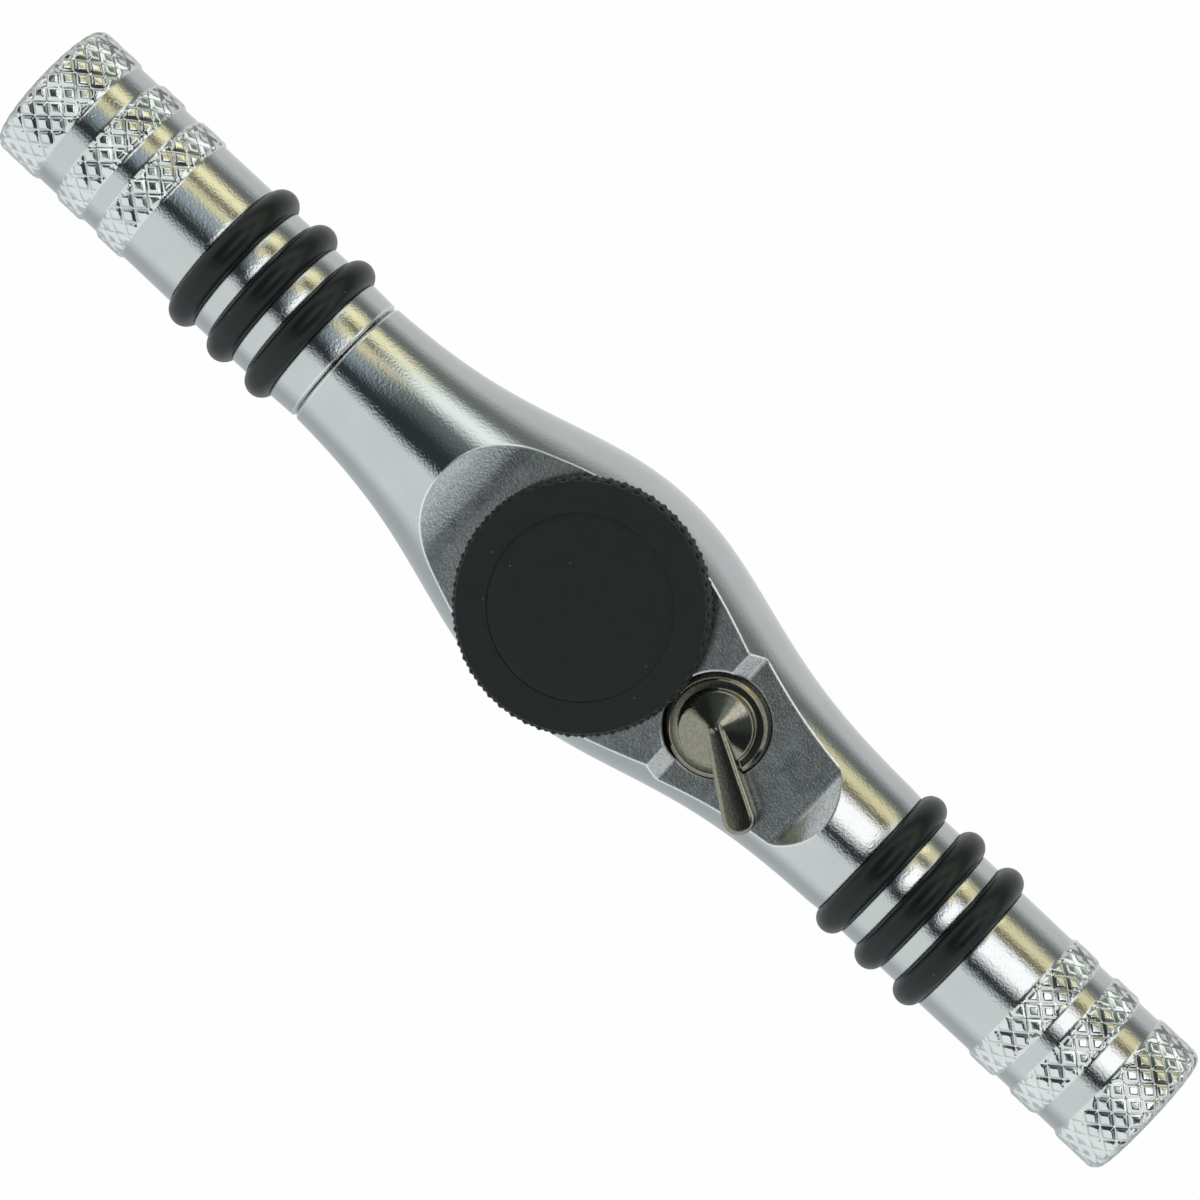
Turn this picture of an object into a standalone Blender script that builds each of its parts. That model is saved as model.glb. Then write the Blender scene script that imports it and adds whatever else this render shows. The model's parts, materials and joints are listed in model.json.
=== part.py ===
"""Thumb-wheel ratcheting driver with a round two-armed handle.

The handle is a turned bar that swells to a round head in its middle.  A knurled thumb
wheel lies on a milled flat on top of the head and turns a ratchet spindle, whose hexagon
socket opens under the head.  A reversing lever beside the wheel rocks a two-nosed pawl.
The -X arm is a hollow storage cap that screws into the handle.

Frame: origin where the wheel's axis crosses the handle's axis, +X along the solid arm
towards the reversing lever, +Z up through the thumb wheel.  Units are metres.
"""
import math

import bmesh
import bpy
from mathutils import Matrix, Vector

MM = 0.001

# Handle
HEAD_RADIUS = 12.59 * MM
ARM_RADIUS = 7.0 * MM
SOCKET_NECK_RADIUS = 6.75 * MM
HEAD_SPREAD = 17.13 * MM
HEAD_POWER = 2.08
HALF_LENGTH = 70.0 * MM
END_FILLET = 1.1 * MM
HEAD_END = 33.5 * MM

# Raised knurled bands near each arm's end: distances from the head's centre
BAND_RADIUS = 7.25 * MM
BAND_NECK_RADIUS = 6.97 * MM
BAND_SPANS = ((53.7 * MM, 57.35 * MM), (58.85 * MM, 62.4 * MM), (64.5 * MM, HALF_LENGTH))
BAND_EDGE = 0.3 * MM

# Rubber grip rings and their grooves
RING_WIRE = 1.5 * MM
RING_CENTRE = 6.68 * MM
RING_PITCH = 4.85 * MM
RING_COUNT = 3
GROOVE_ROOT = 5.08 * MM
GROOVE_HALF_WIDTH = 1.6 * MM
FIRST_RING_ARM = 36.25 * MM
FIRST_RING_CAP = 36.5 * MM

# Storage cap and its thread
JOINT_X = 31.9 * MM
JOINT_GAP = 0.1 * MM
JOINT_CHAMFER = 0.25 * MM
THREAD_SOCKET_RADIUS = 4.75 * MM
THREAD_SPIGOT_RADIUS = 4.6 * MM
THREAD_SOCKET_END = 24.9 * MM
THREAD_SPIGOT_END = 25.3 * MM
STORE_RADIUS = 3.75 * MM
STORE_END = 64.8 * MM

# Milled flats
WHEEL_FLAT_Z = 6.9 * MM
LEVER_FLAT_Z = 5.56 * MM
WHEEL_FLAT_START = 15.1 * MM
STEP_TOP_X = 14.15 * MM
STEP_FOOT_X = 15.65 * MM
LEVER_FLAT_END = 27.5 * MM
RUNOUT_SLOPE = math.tan(math.radians(34.5))
UNDERSIDE_Z = -6.9 * MM
UNDERSIDE_START = 15.3 * MM
UNDERSIDE_END = 26.5 * MM
UNDERSIDE_RUNOUT = 3.0 * MM

# Mechanism chamber, open downwards
CHAMBER_ROOF = 2.2 * MM
CHAMBER_RADIUS = 7.0 * MM
POCKET_HALF_WIDTH = 5.0 * MM
POCKET_END = 13.0 * MM
LEVER_POCKET_RADIUS = 3.5 * MM

# Cover plate and its screws
PLATE_TOP = -5.4 * MM
PLATE_SEAT = -5.3 * MM
PLATE_BIG_X = -1.2 * MM
PLATE_BIG_RADIUS = 9.6 * MM
PLATE_SMALL_X = 18.5 * MM
PLATE_SMALL_RADIUS = 4.6 * MM
PLATE_GAP = 0.1 * MM
COVER_SCREW_PLACES = ((-7.53 * MM, 4.35 * MM), (-7.53 * MM, -4.35 * MM), (21.2 * MM, 0.0))
COVER_SCREW_HEAD = 1.45 * MM
COVER_SCREW_SHANK = 0.75 * MM
COVER_SCREW_HEAD_DEPTH = 0.8 * MM
COVER_SCREW_RECESS = 0.5 * MM
COVER_SCREW_TIP = -1.6 * MM
SCREW_CLEARANCE = 0.12 * MM
SCREW_END_ROOM = 0.1 * MM

# Ratchet spindle
TOOTH_COUNT = 36
GEAR_TIP = 6.6 * MM
GEAR_ROOT = 6.0 * MM
GEAR_LAND = 0.16
CORE_INSET = 0.1 * MM
GEAR_BOTTOM = -4.9 * MM
GEAR_TOP = 1.9 * MM
COLLAR_RADIUS = 5.8 * MM
COLLAR_HOLE_RADIUS = 5.95 * MM
COLLAR_CHAMFER = 0.4 * MM
SPINDLE_BOTTOM = -10.1 * MM
JOURNAL_RADIUS = 4.25 * MM
JOURNAL_BORE_RADIUS = 4.35 * MM
JOURNAL_TOP = 7.0 * MM
DRIVE_NECK_FLATS = 5.6 * MM
DRIVE_NECK_TOP = 8.5 * MM
BIT_FLATS = 6.45 * MM
BIT_SOCKET_ROOF = -0.9 * MM
MAGNET_RADIUS = 3.0 * MM
MAGNET_BOTTOM = -0.8 * MM
MAGNET_TOP = 1.2 * MM
MAGNET_GAP = 0.1 * MM

# Thumb wheel and what holds it
WHEEL_RADIUS = 12.15 * MM
WHEEL_TEETH = 54
WHEEL_TOOTH_DEPTH = 0.25 * MM
WHEEL_BOTTOM = 7.3 * MM
WHEEL_TOP = 10.1 * MM
WHEEL_EDGE = 0.33 * MM
INSERT_RADIUS = 8.7 * MM
INSERT_SEAT_RADIUS = 8.8 * MM
INSERT_SEAT_Z = 9.4 * MM
INSERT_BOTTOM = 9.45 * MM
INSERT_TOP = 10.0 * MM
HUB_WELL_RADIUS = 6.0 * MM
HUB_WELL_FLOOR = 8.7 * MM
NECK_GAP = 0.1 * MM
SMALL_CHAMFER = 0.1 * MM
WASHER_INNER = 6.5 * MM
WASHER_OUTER = 8.4 * MM
WASHER_BOTTOM = 7.0 * MM
WASHER_TOP = 7.7 * MM
WASHER_ROOM = 0.2 * MM
WHEEL_SCREW_HEAD = 4.0 * MM
WHEEL_SCREW_SHANK = 1.4 * MM
WHEEL_SCREW_HEAD_Z = (8.75 * MM, 9.35 * MM)
WHEEL_SCREW_TIP = 3.5 * MM
WHEEL_SCREW_HOLE_END = 3.2 * MM
WHEEL_SCREW_SLOT = 0.8 * MM

# Reversing lever
LEVER_X = 16.5 * MM
LEVER_REST_TURN = math.radians(-32.0)
LEVER_SEAT_Z = 5.2 * MM
LEVER_SEAT_RADIUS = 4.9 * MM
LEVER_DISC_RADIUS = 4.7 * MM
LEVER_DISC_Z = (5.4 * MM, 6.9 * MM)
LEVER_DISC_CHAMFER = 0.35 * MM
DOME_RADIUS = 3.6 * MM
DOME_TOP = 8.9 * MM
LEVER_SHAFT_RADIUS = 2.6 * MM
LEVER_BORE_RADIUS = 2.7 * MM
LEVER_SHAFT_BOTTOM = -4.9 * MM
BLADE_REACH = 10.05 * MM
BLADE_TIP_RADIUS = 1.65 * MM
BLADE_ROOT_HALF_WIDTH = 1.4 * MM
BLADE_Z = (6.1 * MM, 8.75 * MM)
BLADE_EDGE = 0.45 * MM
CLIP_GROOVE_RADIUS = 1.9 * MM
CLIP_GROOVE_Z = (1.15 * MM, 1.85 * MM)
CLIP_Z = (1.25 * MM, 1.75 * MM)
CLIP_INNER = 2.05 * MM
CLIP_OUTER = 3.3 * MM
CLIP_MOUTH = math.radians(70.0)

# Detent plunger and spring, in a cross hole in the lever's shaft
DETENT_Z = -1.5 * MM
DETENT_HOLE_RADIUS = 0.95 * MM
DETENT_HOLE_END = 1.6 * MM
PLUNGER_RADIUS = 0.8 * MM
PLUNGER_REACH = 4.65 * MM
PLUNGER_LENGTH = 3.45 * MM
SPRING_RADIUS = 0.6 * MM
SPRING_WIRE = 0.13 * MM
SPRING_TURNS = 4
SPRING_SPAN = (-1.0 * MM, 1.4 * MM)

# Pawl
PAWL_X = 9.2 * MM
PAWL_ROCK = math.radians(8.0)
PAWL_Z = (-4.7 * MM, 0.9 * MM)
PAWL_FRONT_X = 7.4 * MM
PAWL_PIN_RADIUS = 0.85 * MM
PAWL_HOLE_RADIUS = 1.0 * MM
PAWL_PIN_Z = (-5.2 * MM, 3.9 * MM)
PIN_HOLE_ROOF = 4.1 * MM
NOSE_ANGLE = math.radians(25.0)
NOSE_RADIUS = 6.15 * MM
NOSE_TIP_HALF_WIDTH = 0.08 * MM
NOSE_LENGTH = 0.9 * MM
NOSE_HALF_ANGLE = math.radians(30.0)
CAM_GAP = 0.2 * MM
CAM_SWEEP = math.radians(36.0)
CAM_STEPS = 8
EAR_CORNER = (12.6 * MM, 3.0 * MM)
EAR_SHOULDER = (10.5 * MM, 4.2 * MM)
NOSE_SHOULDER = (8.0 * MM, 4.6 * MM)

# Mesh quality
BODY_SEGMENTS = 36
ROUND_SEGMENTS = 28
SMALL_SEGMENTS = 12
RING_SEGMENTS = 24
RING_SECTION_POINTS = 8
HEAD_STEPS = 22
FILLET_STEPS = 4
RUNOUT_STEPS = 6
DOME_STEPS = 6
TIP_STEPS = 8
SMALL_ARC_STEPS = 12
CLIP_ARC_STEPS = 20
CHAMBER_ARC_STEPS = 24
PLATE_ARC_STEPS = 28
COIL_SIDES = 6
COIL_STEPS_PER_TURN = 10
MERGE_DISTANCE = 0.001 * MM
OVERSHOOT = 5.0 * MM
SHARP_ANGLE = math.radians(35.0)

AXIS_X = Vector((1.0, 0.0, 0.0))
AXIS_Z = Vector((0.0, 0.0, 1.0))

FINISHES = {
    "chrome": ((0.80, 0.81, 0.82), 1.0, 0.12),
    "black_wheel": ((0.030, 0.036, 0.036), 0.0, 0.60),
    "black_nickel": ((0.20, 0.19, 0.18), 1.0, 0.18),
    "black_rubber": ((0.030, 0.036, 0.036), 0.0, 0.50),
    "ground_steel": ((0.55, 0.55, 0.56), 1.0, 0.35),
    "spring_steel": ((0.45, 0.44, 0.43), 1.0, 0.30),
    "magnet_nickel": ((0.62, 0.61, 0.58), 1.0, 0.25),
}


# ---------------------------------------------------------------- scene helpers

def clear_scene():
    for obj in list(bpy.data.objects):
        bpy.data.objects.remove(obj, do_unlink=True)


def make_finish(name):
    colour, metallic, roughness = FINISHES[name]
    material = bpy.data.materials.new(name)
    material.use_nodes = True
    shader = material.node_tree.nodes["Principled BSDF"]
    shader.inputs["Base Color"].default_value = (*colour, 1.0)
    shader.inputs["Metallic"].default_value = metallic
    shader.inputs["Roughness"].default_value = roughness
    return material


def make_axis(name, location=(0.0, 0.0, 0.0), turn=0.0, parent=None):
    """An empty that carries the pieces of one moving group."""
    empty = bpy.data.objects.new(name, None)
    bpy.context.scene.collection.objects.link(empty)
    empty.location = location
    empty.rotation_euler = (0.0, 0.0, turn)
    empty.parent = parent
    return empty


def place(name, bm, finish, parent):
    """Turn a bmesh into a named object under its group's empty."""
    mesh = bpy.data.meshes.new(name)
    bm.to_mesh(mesh)
    bm.free()
    mesh.shade_smooth()
    mesh.set_sharp_from_angle(angle=SHARP_ANGLE)
    obj = bpy.data.objects.new(name, mesh)
    bpy.context.scene.collection.objects.link(obj)
    obj.data.materials.append(finish)
    obj.parent = parent
    return obj


def combine(target, bm, operation, name):
    """Boolean a bmesh, given in the target's own space, into the target."""
    mesh = bpy.data.meshes.new(name)
    bm.to_mesh(mesh)
    bm.free()
    tool = bpy.data.objects.new(name, mesh)
    bpy.context.scene.collection.objects.link(tool)
    tool.parent = target.parent
    tool.location = target.location
    tool.hide_render = True
    tool.display_type = "WIRE"
    modifier = target.modifiers.new(name, "BOOLEAN")
    modifier.operation = operation
    modifier.solver = "EXACT"
    modifier.object = tool


# ---------------------------------------------------------------- shape helpers

def turned(outline, segments, axis=AXIS_Z, closed=False):
    """Spin (distance along the axis, radius) points round the axis."""
    bm = bmesh.new()
    across = AXIS_Z if axis == AXIS_X else AXIS_X
    verts = [bm.verts.new(axis * along + across * radius) for along, radius in outline]
    edges = [bm.edges.new(pair) for pair in zip(verts, verts[1:])]
    if closed:
        edges.append(bm.edges.new((verts[-1], verts[0])))
    bmesh.ops.spin(bm, geom=verts + edges, cent=(0.0, 0.0, 0.0), axis=axis,
                   angle=math.tau, steps=segments, use_merge=True)
    bmesh.ops.remove_doubles(bm, verts=bm.verts, dist=MERGE_DISTANCE)
    bmesh.ops.recalc_face_normals(bm, faces=bm.faces)
    return bm


def cylinder(radius, low, high, segments=ROUND_SEGMENTS, centre=(0.0, 0.0)):
    bm = turned([(high, 0.0), (high, radius), (low, radius), (low, 0.0)], segments)
    bmesh.ops.translate(bm, verts=bm.verts, vec=(*centre, 0.0))
    return bm


def prism(points, low, high):
    """Extrude a closed outline in the XY plane from one height to another."""
    bm = bmesh.new()
    face = bm.faces.new([bm.verts.new((x, y, low)) for x, y in points])
    grown = bmesh.ops.extrude_face_region(bm, geom=[face])
    top = [item for item in grown["geom"] if isinstance(item, bmesh.types.BMVert)]
    bmesh.ops.translate(bm, verts=top, vec=(0.0, 0.0, high - low))
    bmesh.ops.recalc_face_normals(bm, faces=bm.faces)
    return bm


def arc(centre, radius, start, end, steps):
    """Points from one angle to another, both included."""
    points = []
    for step in range(steps + 1):
        angle = start + (end - start) * step / steps
        points.append((centre[0] + radius * math.cos(angle),
                       centre[1] + radius * math.sin(angle)))
    return points


def hexagon(flats):
    return arc((0.0, 0.0), flats / math.sqrt(3.0), 0.0, math.tau * 5 / 6, 5)


def pear(grow):
    """Outline round the cover plate's two circles, grown by a gap."""
    big = PLATE_BIG_RADIUS + grow
    small = PLATE_SMALL_RADIUS + grow
    lean = math.acos((big - small) / (PLATE_SMALL_X - PLATE_BIG_X))
    left = arc((PLATE_BIG_X, 0.0), big, lean, math.tau - lean, PLATE_ARC_STEPS)
    right = arc((PLATE_SMALL_X, 0.0), small, -lean, lean, SMALL_ARC_STEPS)
    return left + right


def turned_about(point, centre_x, angle):
    """Turn an XY point about (centre_x, 0)."""
    spun = Matrix.Rotation(angle, 2) @ Vector((point[0] - centre_x, point[1]))
    return (spun.x + centre_x, spun.y)


# ---------------------------------------------------------------- handle and cap

def head_radius(x):
    """Radius of the turned head at a distance along the handle."""
    base = ARM_RADIUS if x > 0.0 else SOCKET_NECK_RADIUS
    swell = math.exp(-((abs(x) / HEAD_SPREAD) ** HEAD_POWER))
    return base + (HEAD_RADIUS - base) * swell


def arm_outline(first_ring):
    """An arm from its first groove to its end face, as (distance, radius) points."""
    points = []
    for index in range(RING_COUNT):
        middle = first_ring + index * RING_PITCH
        points += [(middle - GROOVE_HALF_WIDTH, ARM_RADIUS),
                   (middle - GROOVE_HALF_WIDTH, GROOVE_ROOT),
                   (middle + GROOVE_HALF_WIDTH, GROOVE_ROOT),
                   (middle + GROOVE_HALF_WIDTH, ARM_RADIUS)]
    for start, end in BAND_SPANS:
        points += [(start, BAND_NECK_RADIUS), (start + BAND_EDGE, BAND_RADIUS)]
        if end < HALF_LENGTH:
            points += [(end - BAND_EDGE, BAND_RADIUS), (end, BAND_NECK_RADIUS)]
    corner = (HALF_LENGTH - END_FILLET, BAND_RADIUS - END_FILLET)
    points += arc(corner, END_FILLET, math.pi / 2.0, 0.0, FILLET_STEPS)
    points.append((HALF_LENGTH, 0.0))
    return points


def handle_outline():
    joint_radius = head_radius(-JOINT_X)
    points = [(-THREAD_SOCKET_END, 0.0),
              (-THREAD_SOCKET_END, THREAD_SOCKET_RADIUS),
              (-JOINT_X, THREAD_SOCKET_RADIUS),
              (-JOINT_X, joint_radius - JOINT_CHAMFER)]
    start = -JOINT_X + JOINT_CHAMFER
    for step in range(HEAD_STEPS + 1):
        x = start + (HEAD_END - start) * step / HEAD_STEPS
        points.append((x, head_radius(x)))
    return points + arm_outline(FIRST_RING_ARM)


def flats_profile():
    """Side view of the metal milled off the top, as (x, z) points; the ends ramp out."""
    lift = HEAD_RADIUS + OVERSHOOT
    ramp_top = (-WHEEL_FLAT_START - (lift - WHEEL_FLAT_Z) / RUNOUT_SLOPE, lift)
    far_ramp_top = (LEVER_FLAT_END + (lift - LEVER_FLAT_Z) / RUNOUT_SLOPE, lift)
    return [ramp_top, (-WHEEL_FLAT_START, WHEEL_FLAT_Z), (STEP_TOP_X, WHEEL_FLAT_Z),
            (STEP_FOOT_X, LEVER_FLAT_Z), (LEVER_FLAT_END, LEVER_FLAT_Z), far_ramp_top]


def underside_profile():
    """Side view of the metal milled off the underside, as (x, z) points."""
    drop = -HEAD_RADIUS - OVERSHOOT
    near = arc((-UNDERSIDE_START, UNDERSIDE_Z - UNDERSIDE_RUNOUT), UNDERSIDE_RUNOUT,
               math.pi, math.pi / 2.0, RUNOUT_STEPS)
    far = arc((UNDERSIDE_END, UNDERSIDE_Z - UNDERSIDE_RUNOUT), UNDERSIDE_RUNOUT,
              math.pi / 2.0, 0.0, RUNOUT_STEPS)
    return [(near[0][0], drop)] + near + far + [(far[-1][0], drop)]


def milling_cut(profile):
    """A side-view profile extruded right across the handle."""
    reach = HEAD_RADIUS + OVERSHOOT
    bm = prism(profile, -reach, reach)
    bmesh.ops.rotate(bm, verts=bm.verts, cent=(0.0, 0.0, 0.0),
                     matrix=Matrix.Rotation(math.pi / 2.0, 3, "X"))
    return bm


def chamber_outline():
    """Gear chamber, pawl pocket and lever pocket in one outline."""
    mouth = math.asin(POCKET_HALF_WIDTH / CHAMBER_RADIUS)
    gear_side = arc((0.0, 0.0), CHAMBER_RADIUS, mouth, math.tau - mouth, CHAMBER_ARC_STEPS)
    lever_side = arc((LEVER_X, 0.0), LEVER_POCKET_RADIUS, -math.pi / 2.0, math.pi / 2.0,
                     SMALL_ARC_STEPS)
    near = [(POCKET_END, -POCKET_HALF_WIDTH)]
    far = [(POCKET_END, POCKET_HALF_WIDTH)]
    return gear_side + near + lever_side + far


def build_handle(finish, frame):
    body = place("handle_body", turned(handle_outline(), BODY_SEGMENTS, AXIS_X), finish, frame)
    below = UNDERSIDE_Z - OVERSHOOT
    above = WHEEL_FLAT_Z + OVERSHOOT
    combine(body, milling_cut(flats_profile()), "DIFFERENCE", "top_flats_cut")
    combine(body, milling_cut(underside_profile()), "DIFFERENCE", "underside_cut")
    combine(body, prism(pear(PLATE_GAP), below, PLATE_SEAT), "DIFFERENCE", "plate_seat_cut")
    combine(body, prism(chamber_outline(), below, CHAMBER_ROOF), "DIFFERENCE", "chamber_cut")
    combine(body, cylinder(JOURNAL_BORE_RADIUS, 0.0, above), "DIFFERENCE", "journal_cut")
    pin_hole = cylinder(PAWL_PIN_RADIUS + SCREW_CLEARANCE, 0.0, PIN_HOLE_ROOF,
                        SMALL_SEGMENTS, (PAWL_X, 0.0))
    combine(body, pin_hole, "DIFFERENCE", "pawl_pin_cut")
    seat = [(above, 0.0), (above, LEVER_SEAT_RADIUS), (LEVER_SEAT_Z, LEVER_SEAT_RADIUS),
            (LEVER_SEAT_Z, LEVER_BORE_RADIUS), (0.0, LEVER_BORE_RADIUS), (0.0, 0.0)]
    lever_seat = turned(seat, ROUND_SEGMENTS)
    bmesh.ops.translate(lever_seat, verts=lever_seat.verts, vec=(LEVER_X, 0.0, 0.0))
    combine(body, lever_seat, "DIFFERENCE", "lever_seat_cut")
    for index, centre in enumerate(COVER_SCREW_PLACES):
        hole = cylinder(COVER_SCREW_SHANK + SCREW_CLEARANCE, below,
                        COVER_SCREW_TIP + SCREW_END_ROOM, SMALL_SEGMENTS, centre)
        combine(body, hole, "DIFFERENCE", f"cover_screw_cut_{index + 1}")
    return body


def build_cap(finish, frame):
    """Hollow arm with a threaded spigot, from its end face round to its bore's bottom."""
    arm = [(-x, radius) for x, radius in reversed(arm_outline(FIRST_RING_CAP))]
    shoulder = -JOINT_X - JOINT_GAP
    neck = head_radius(-JOINT_X)
    inner = [(shoulder - JOINT_CHAMFER, neck),
             (shoulder, neck - JOINT_CHAMFER),
             (shoulder, THREAD_SPIGOT_RADIUS),
             (-THREAD_SPIGOT_END - JOINT_CHAMFER, THREAD_SPIGOT_RADIUS),
             (-THREAD_SPIGOT_END, THREAD_SPIGOT_RADIUS - JOINT_CHAMFER),
             (-THREAD_SPIGOT_END, STORE_RADIUS),
             (-STORE_END, STORE_RADIUS),
             (-STORE_END, 0.0)]
    return place("storage_cap", turned(arm + inner, BODY_SEGMENTS, AXIS_X), finish, frame)


def build_rings(prefix, first, side, finish, frame):
    """Three round-section rubber rings in one arm's grooves."""
    for index, label in enumerate(("inner", "middle", "outer")):
        centre = side * (first + index * RING_PITCH)
        section = arc((centre, RING_CENTRE), RING_WIRE, 0.0,
                      math.tau * (1.0 - 1.0 / RING_SECTION_POINTS), RING_SECTION_POINTS - 1)
        place(f"{prefix}_grip_ring_{label}",
              turned(section, RING_SEGMENTS, AXIS_X, closed=True), finish, frame)


# ---------------------------------------------------------------- spindle and wheel

def gear_outline():
    """Tooth crests at multiples of the pitch, with flat crests and flat roots."""
    pitch = math.tau / TOOTH_COUNT
    land = GEAR_LAND * pitch
    points = []
    for index in range(TOOTH_COUNT):
        crest = index * pitch
        root = crest + pitch / 2.0
        for radius, angle in ((GEAR_TIP, crest - land), (GEAR_TIP, crest + land),
                              (GEAR_ROOT, root - land), (GEAR_ROOT, root + land)):
            points.append((radius * math.cos(angle), radius * math.sin(angle)))
    return points


def build_spindle(finish, frame):
    """Drive collar and journal on each side of the ratchet teeth."""
    core = GEAR_ROOT - CORE_INSET
    top, bottom = GEAR_TOP - CORE_INSET, GEAR_BOTTOM + CORE_INSET
    outline = [(JOURNAL_TOP, 0.0), (JOURNAL_TOP, JOURNAL_RADIUS), (top, JOURNAL_RADIUS),
               (top, core), (bottom, core), (bottom, COLLAR_RADIUS),
               (SPINDLE_BOTTOM + COLLAR_CHAMFER, COLLAR_RADIUS),
               (SPINDLE_BOTTOM, COLLAR_RADIUS - COLLAR_CHAMFER), (SPINDLE_BOTTOM, 0.0)]
    spindle = place("ratchet_spindle", turned(outline, ROUND_SEGMENTS), finish, frame)
    combine(spindle, prism(gear_outline(), GEAR_BOTTOM, GEAR_TOP), "UNION", "ratchet_teeth")
    combine(spindle, prism(hexagon(DRIVE_NECK_FLATS), GEAR_TOP, DRIVE_NECK_TOP),
            "UNION", "drive_neck")
    combine(spindle, prism(hexagon(BIT_FLATS), SPINDLE_BOTTOM - OVERSHOOT, BIT_SOCKET_ROOF),
            "DIFFERENCE", "bit_socket_cut")
    combine(spindle, cylinder(MAGNET_RADIUS + MAGNET_GAP, BIT_SOCKET_ROOF - MAGNET_RADIUS,
                              MAGNET_TOP + MAGNET_GAP), "DIFFERENCE", "magnet_cut")
    combine(spindle, cylinder(WHEEL_SCREW_SHANK + SCREW_CLEARANCE, WHEEL_SCREW_HOLE_END,
                              DRIVE_NECK_TOP + OVERSHOOT, SMALL_SEGMENTS),
            "DIFFERENCE", "wheel_screw_cut")
    return spindle


def knurled_disc():
    """Wheel blank whose rim is toothed between two plain chamfered edges."""
    bm = bmesh.new()
    levels = ((WHEEL_BOTTOM, WHEEL_EDGE, WHEEL_EDGE),
              (WHEEL_BOTTOM + WHEEL_EDGE, 0.0, WHEEL_TOOTH_DEPTH),
              (WHEEL_TOP - WHEEL_EDGE, 0.0, WHEEL_TOOTH_DEPTH),
              (WHEEL_TOP, WHEEL_EDGE, WHEEL_EDGE))
    rings = []
    for height, tip_drop, root_drop in levels:
        ring = []
        for index in range(2 * WHEEL_TEETH):
            radius = WHEEL_RADIUS - (root_drop if index % 2 else tip_drop)
            angle = math.pi * index / WHEEL_TEETH
            ring.append(bm.verts.new((radius * math.cos(angle), radius * math.sin(angle), height)))
        rings.append(ring)
    for lower, upper in zip(rings, rings[1:]):
        for index in range(2 * WHEEL_TEETH):
            after = (index + 1) % (2 * WHEEL_TEETH)
            bm.faces.new((lower[index], lower[after], upper[after], upper[index]))
    bm.faces.new(list(reversed(rings[0])))
    bm.faces.new(rings[-1])
    bmesh.ops.recalc_face_normals(bm, faces=bm.faces)
    return bm


def build_wheel(finish, frame):
    wheel = place("thumb_wheel", knurled_disc(), finish, frame)
    above = WHEEL_TOP + OVERSHOOT
    combine(wheel, cylinder(INSERT_SEAT_RADIUS, INSERT_SEAT_Z, above, BODY_SEGMENTS),
            "DIFFERENCE", "insert_seat_cut")
    combine(wheel, cylinder(HUB_WELL_RADIUS, HUB_WELL_FLOOR, above), "DIFFERENCE", "hub_well_cut")
    combine(wheel, prism(hexagon(DRIVE_NECK_FLATS + 2.0 * NECK_GAP), 0.0, above),
            "DIFFERENCE", "drive_neck_cut")
    room = [(0.0, WASHER_INNER - WASHER_ROOM), (0.0, WASHER_OUTER + WASHER_ROOM),
            (WASHER_TOP + WASHER_ROOM, WASHER_OUTER + WASHER_ROOM),
            (WASHER_TOP + WASHER_ROOM, WASHER_INNER - WASHER_ROOM)]
    combine(wheel, turned(room, ROUND_SEGMENTS, closed=True), "DIFFERENCE", "washer_cut")
    return wheel


def build_wheel_fittings(finishes, frame):
    insert = [(INSERT_TOP, 0.0), (INSERT_TOP, INSERT_RADIUS - SMALL_CHAMFER),
              (INSERT_TOP - SMALL_CHAMFER, INSERT_RADIUS), (INSERT_BOTTOM, INSERT_RADIUS),
              (INSERT_BOTTOM, 0.0)]
    place("wheel_insert", turned(insert, BODY_SEGMENTS), finishes["black_wheel"], frame)
    washer = [(WASHER_BOTTOM, WASHER_INNER), (WASHER_BOTTOM, WASHER_OUTER),
              (WASHER_TOP, WASHER_OUTER), (WASHER_TOP, WASHER_INNER)]
    place("wheel_washer", turned(washer, ROUND_SEGMENTS, closed=True),
          finishes["spring_steel"], frame)
    place("bit_magnet", cylinder(MAGNET_RADIUS, MAGNET_BOTTOM, MAGNET_TOP),
          finishes["magnet_nickel"], frame)
    low, high = WHEEL_SCREW_HEAD_Z
    outline = [(high, 0.0), (high, WHEEL_SCREW_HEAD - SMALL_CHAMFER),
               (high - SMALL_CHAMFER, WHEEL_SCREW_HEAD),
               (low, WHEEL_SCREW_HEAD), (low, WHEEL_SCREW_SHANK),
               (WHEEL_SCREW_TIP, WHEEL_SCREW_SHANK), (WHEEL_SCREW_TIP, 0.0)]
    screw = place("wheel_screw", turned(outline, SMALL_SEGMENTS), finishes["ground_steel"], frame)
    reach, half = WHEEL_SCREW_HEAD * 2.0, WHEEL_SCREW_SLOT / 2.0
    slot = [(-reach, -half), (reach, -half), (reach, half), (-reach, half)]
    combine(screw, prism(slot, (low + high) / 2.0, high + OVERSHOOT), "DIFFERENCE", "screw_slot_cut")


# ---------------------------------------------------------------- cover and screws

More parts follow.
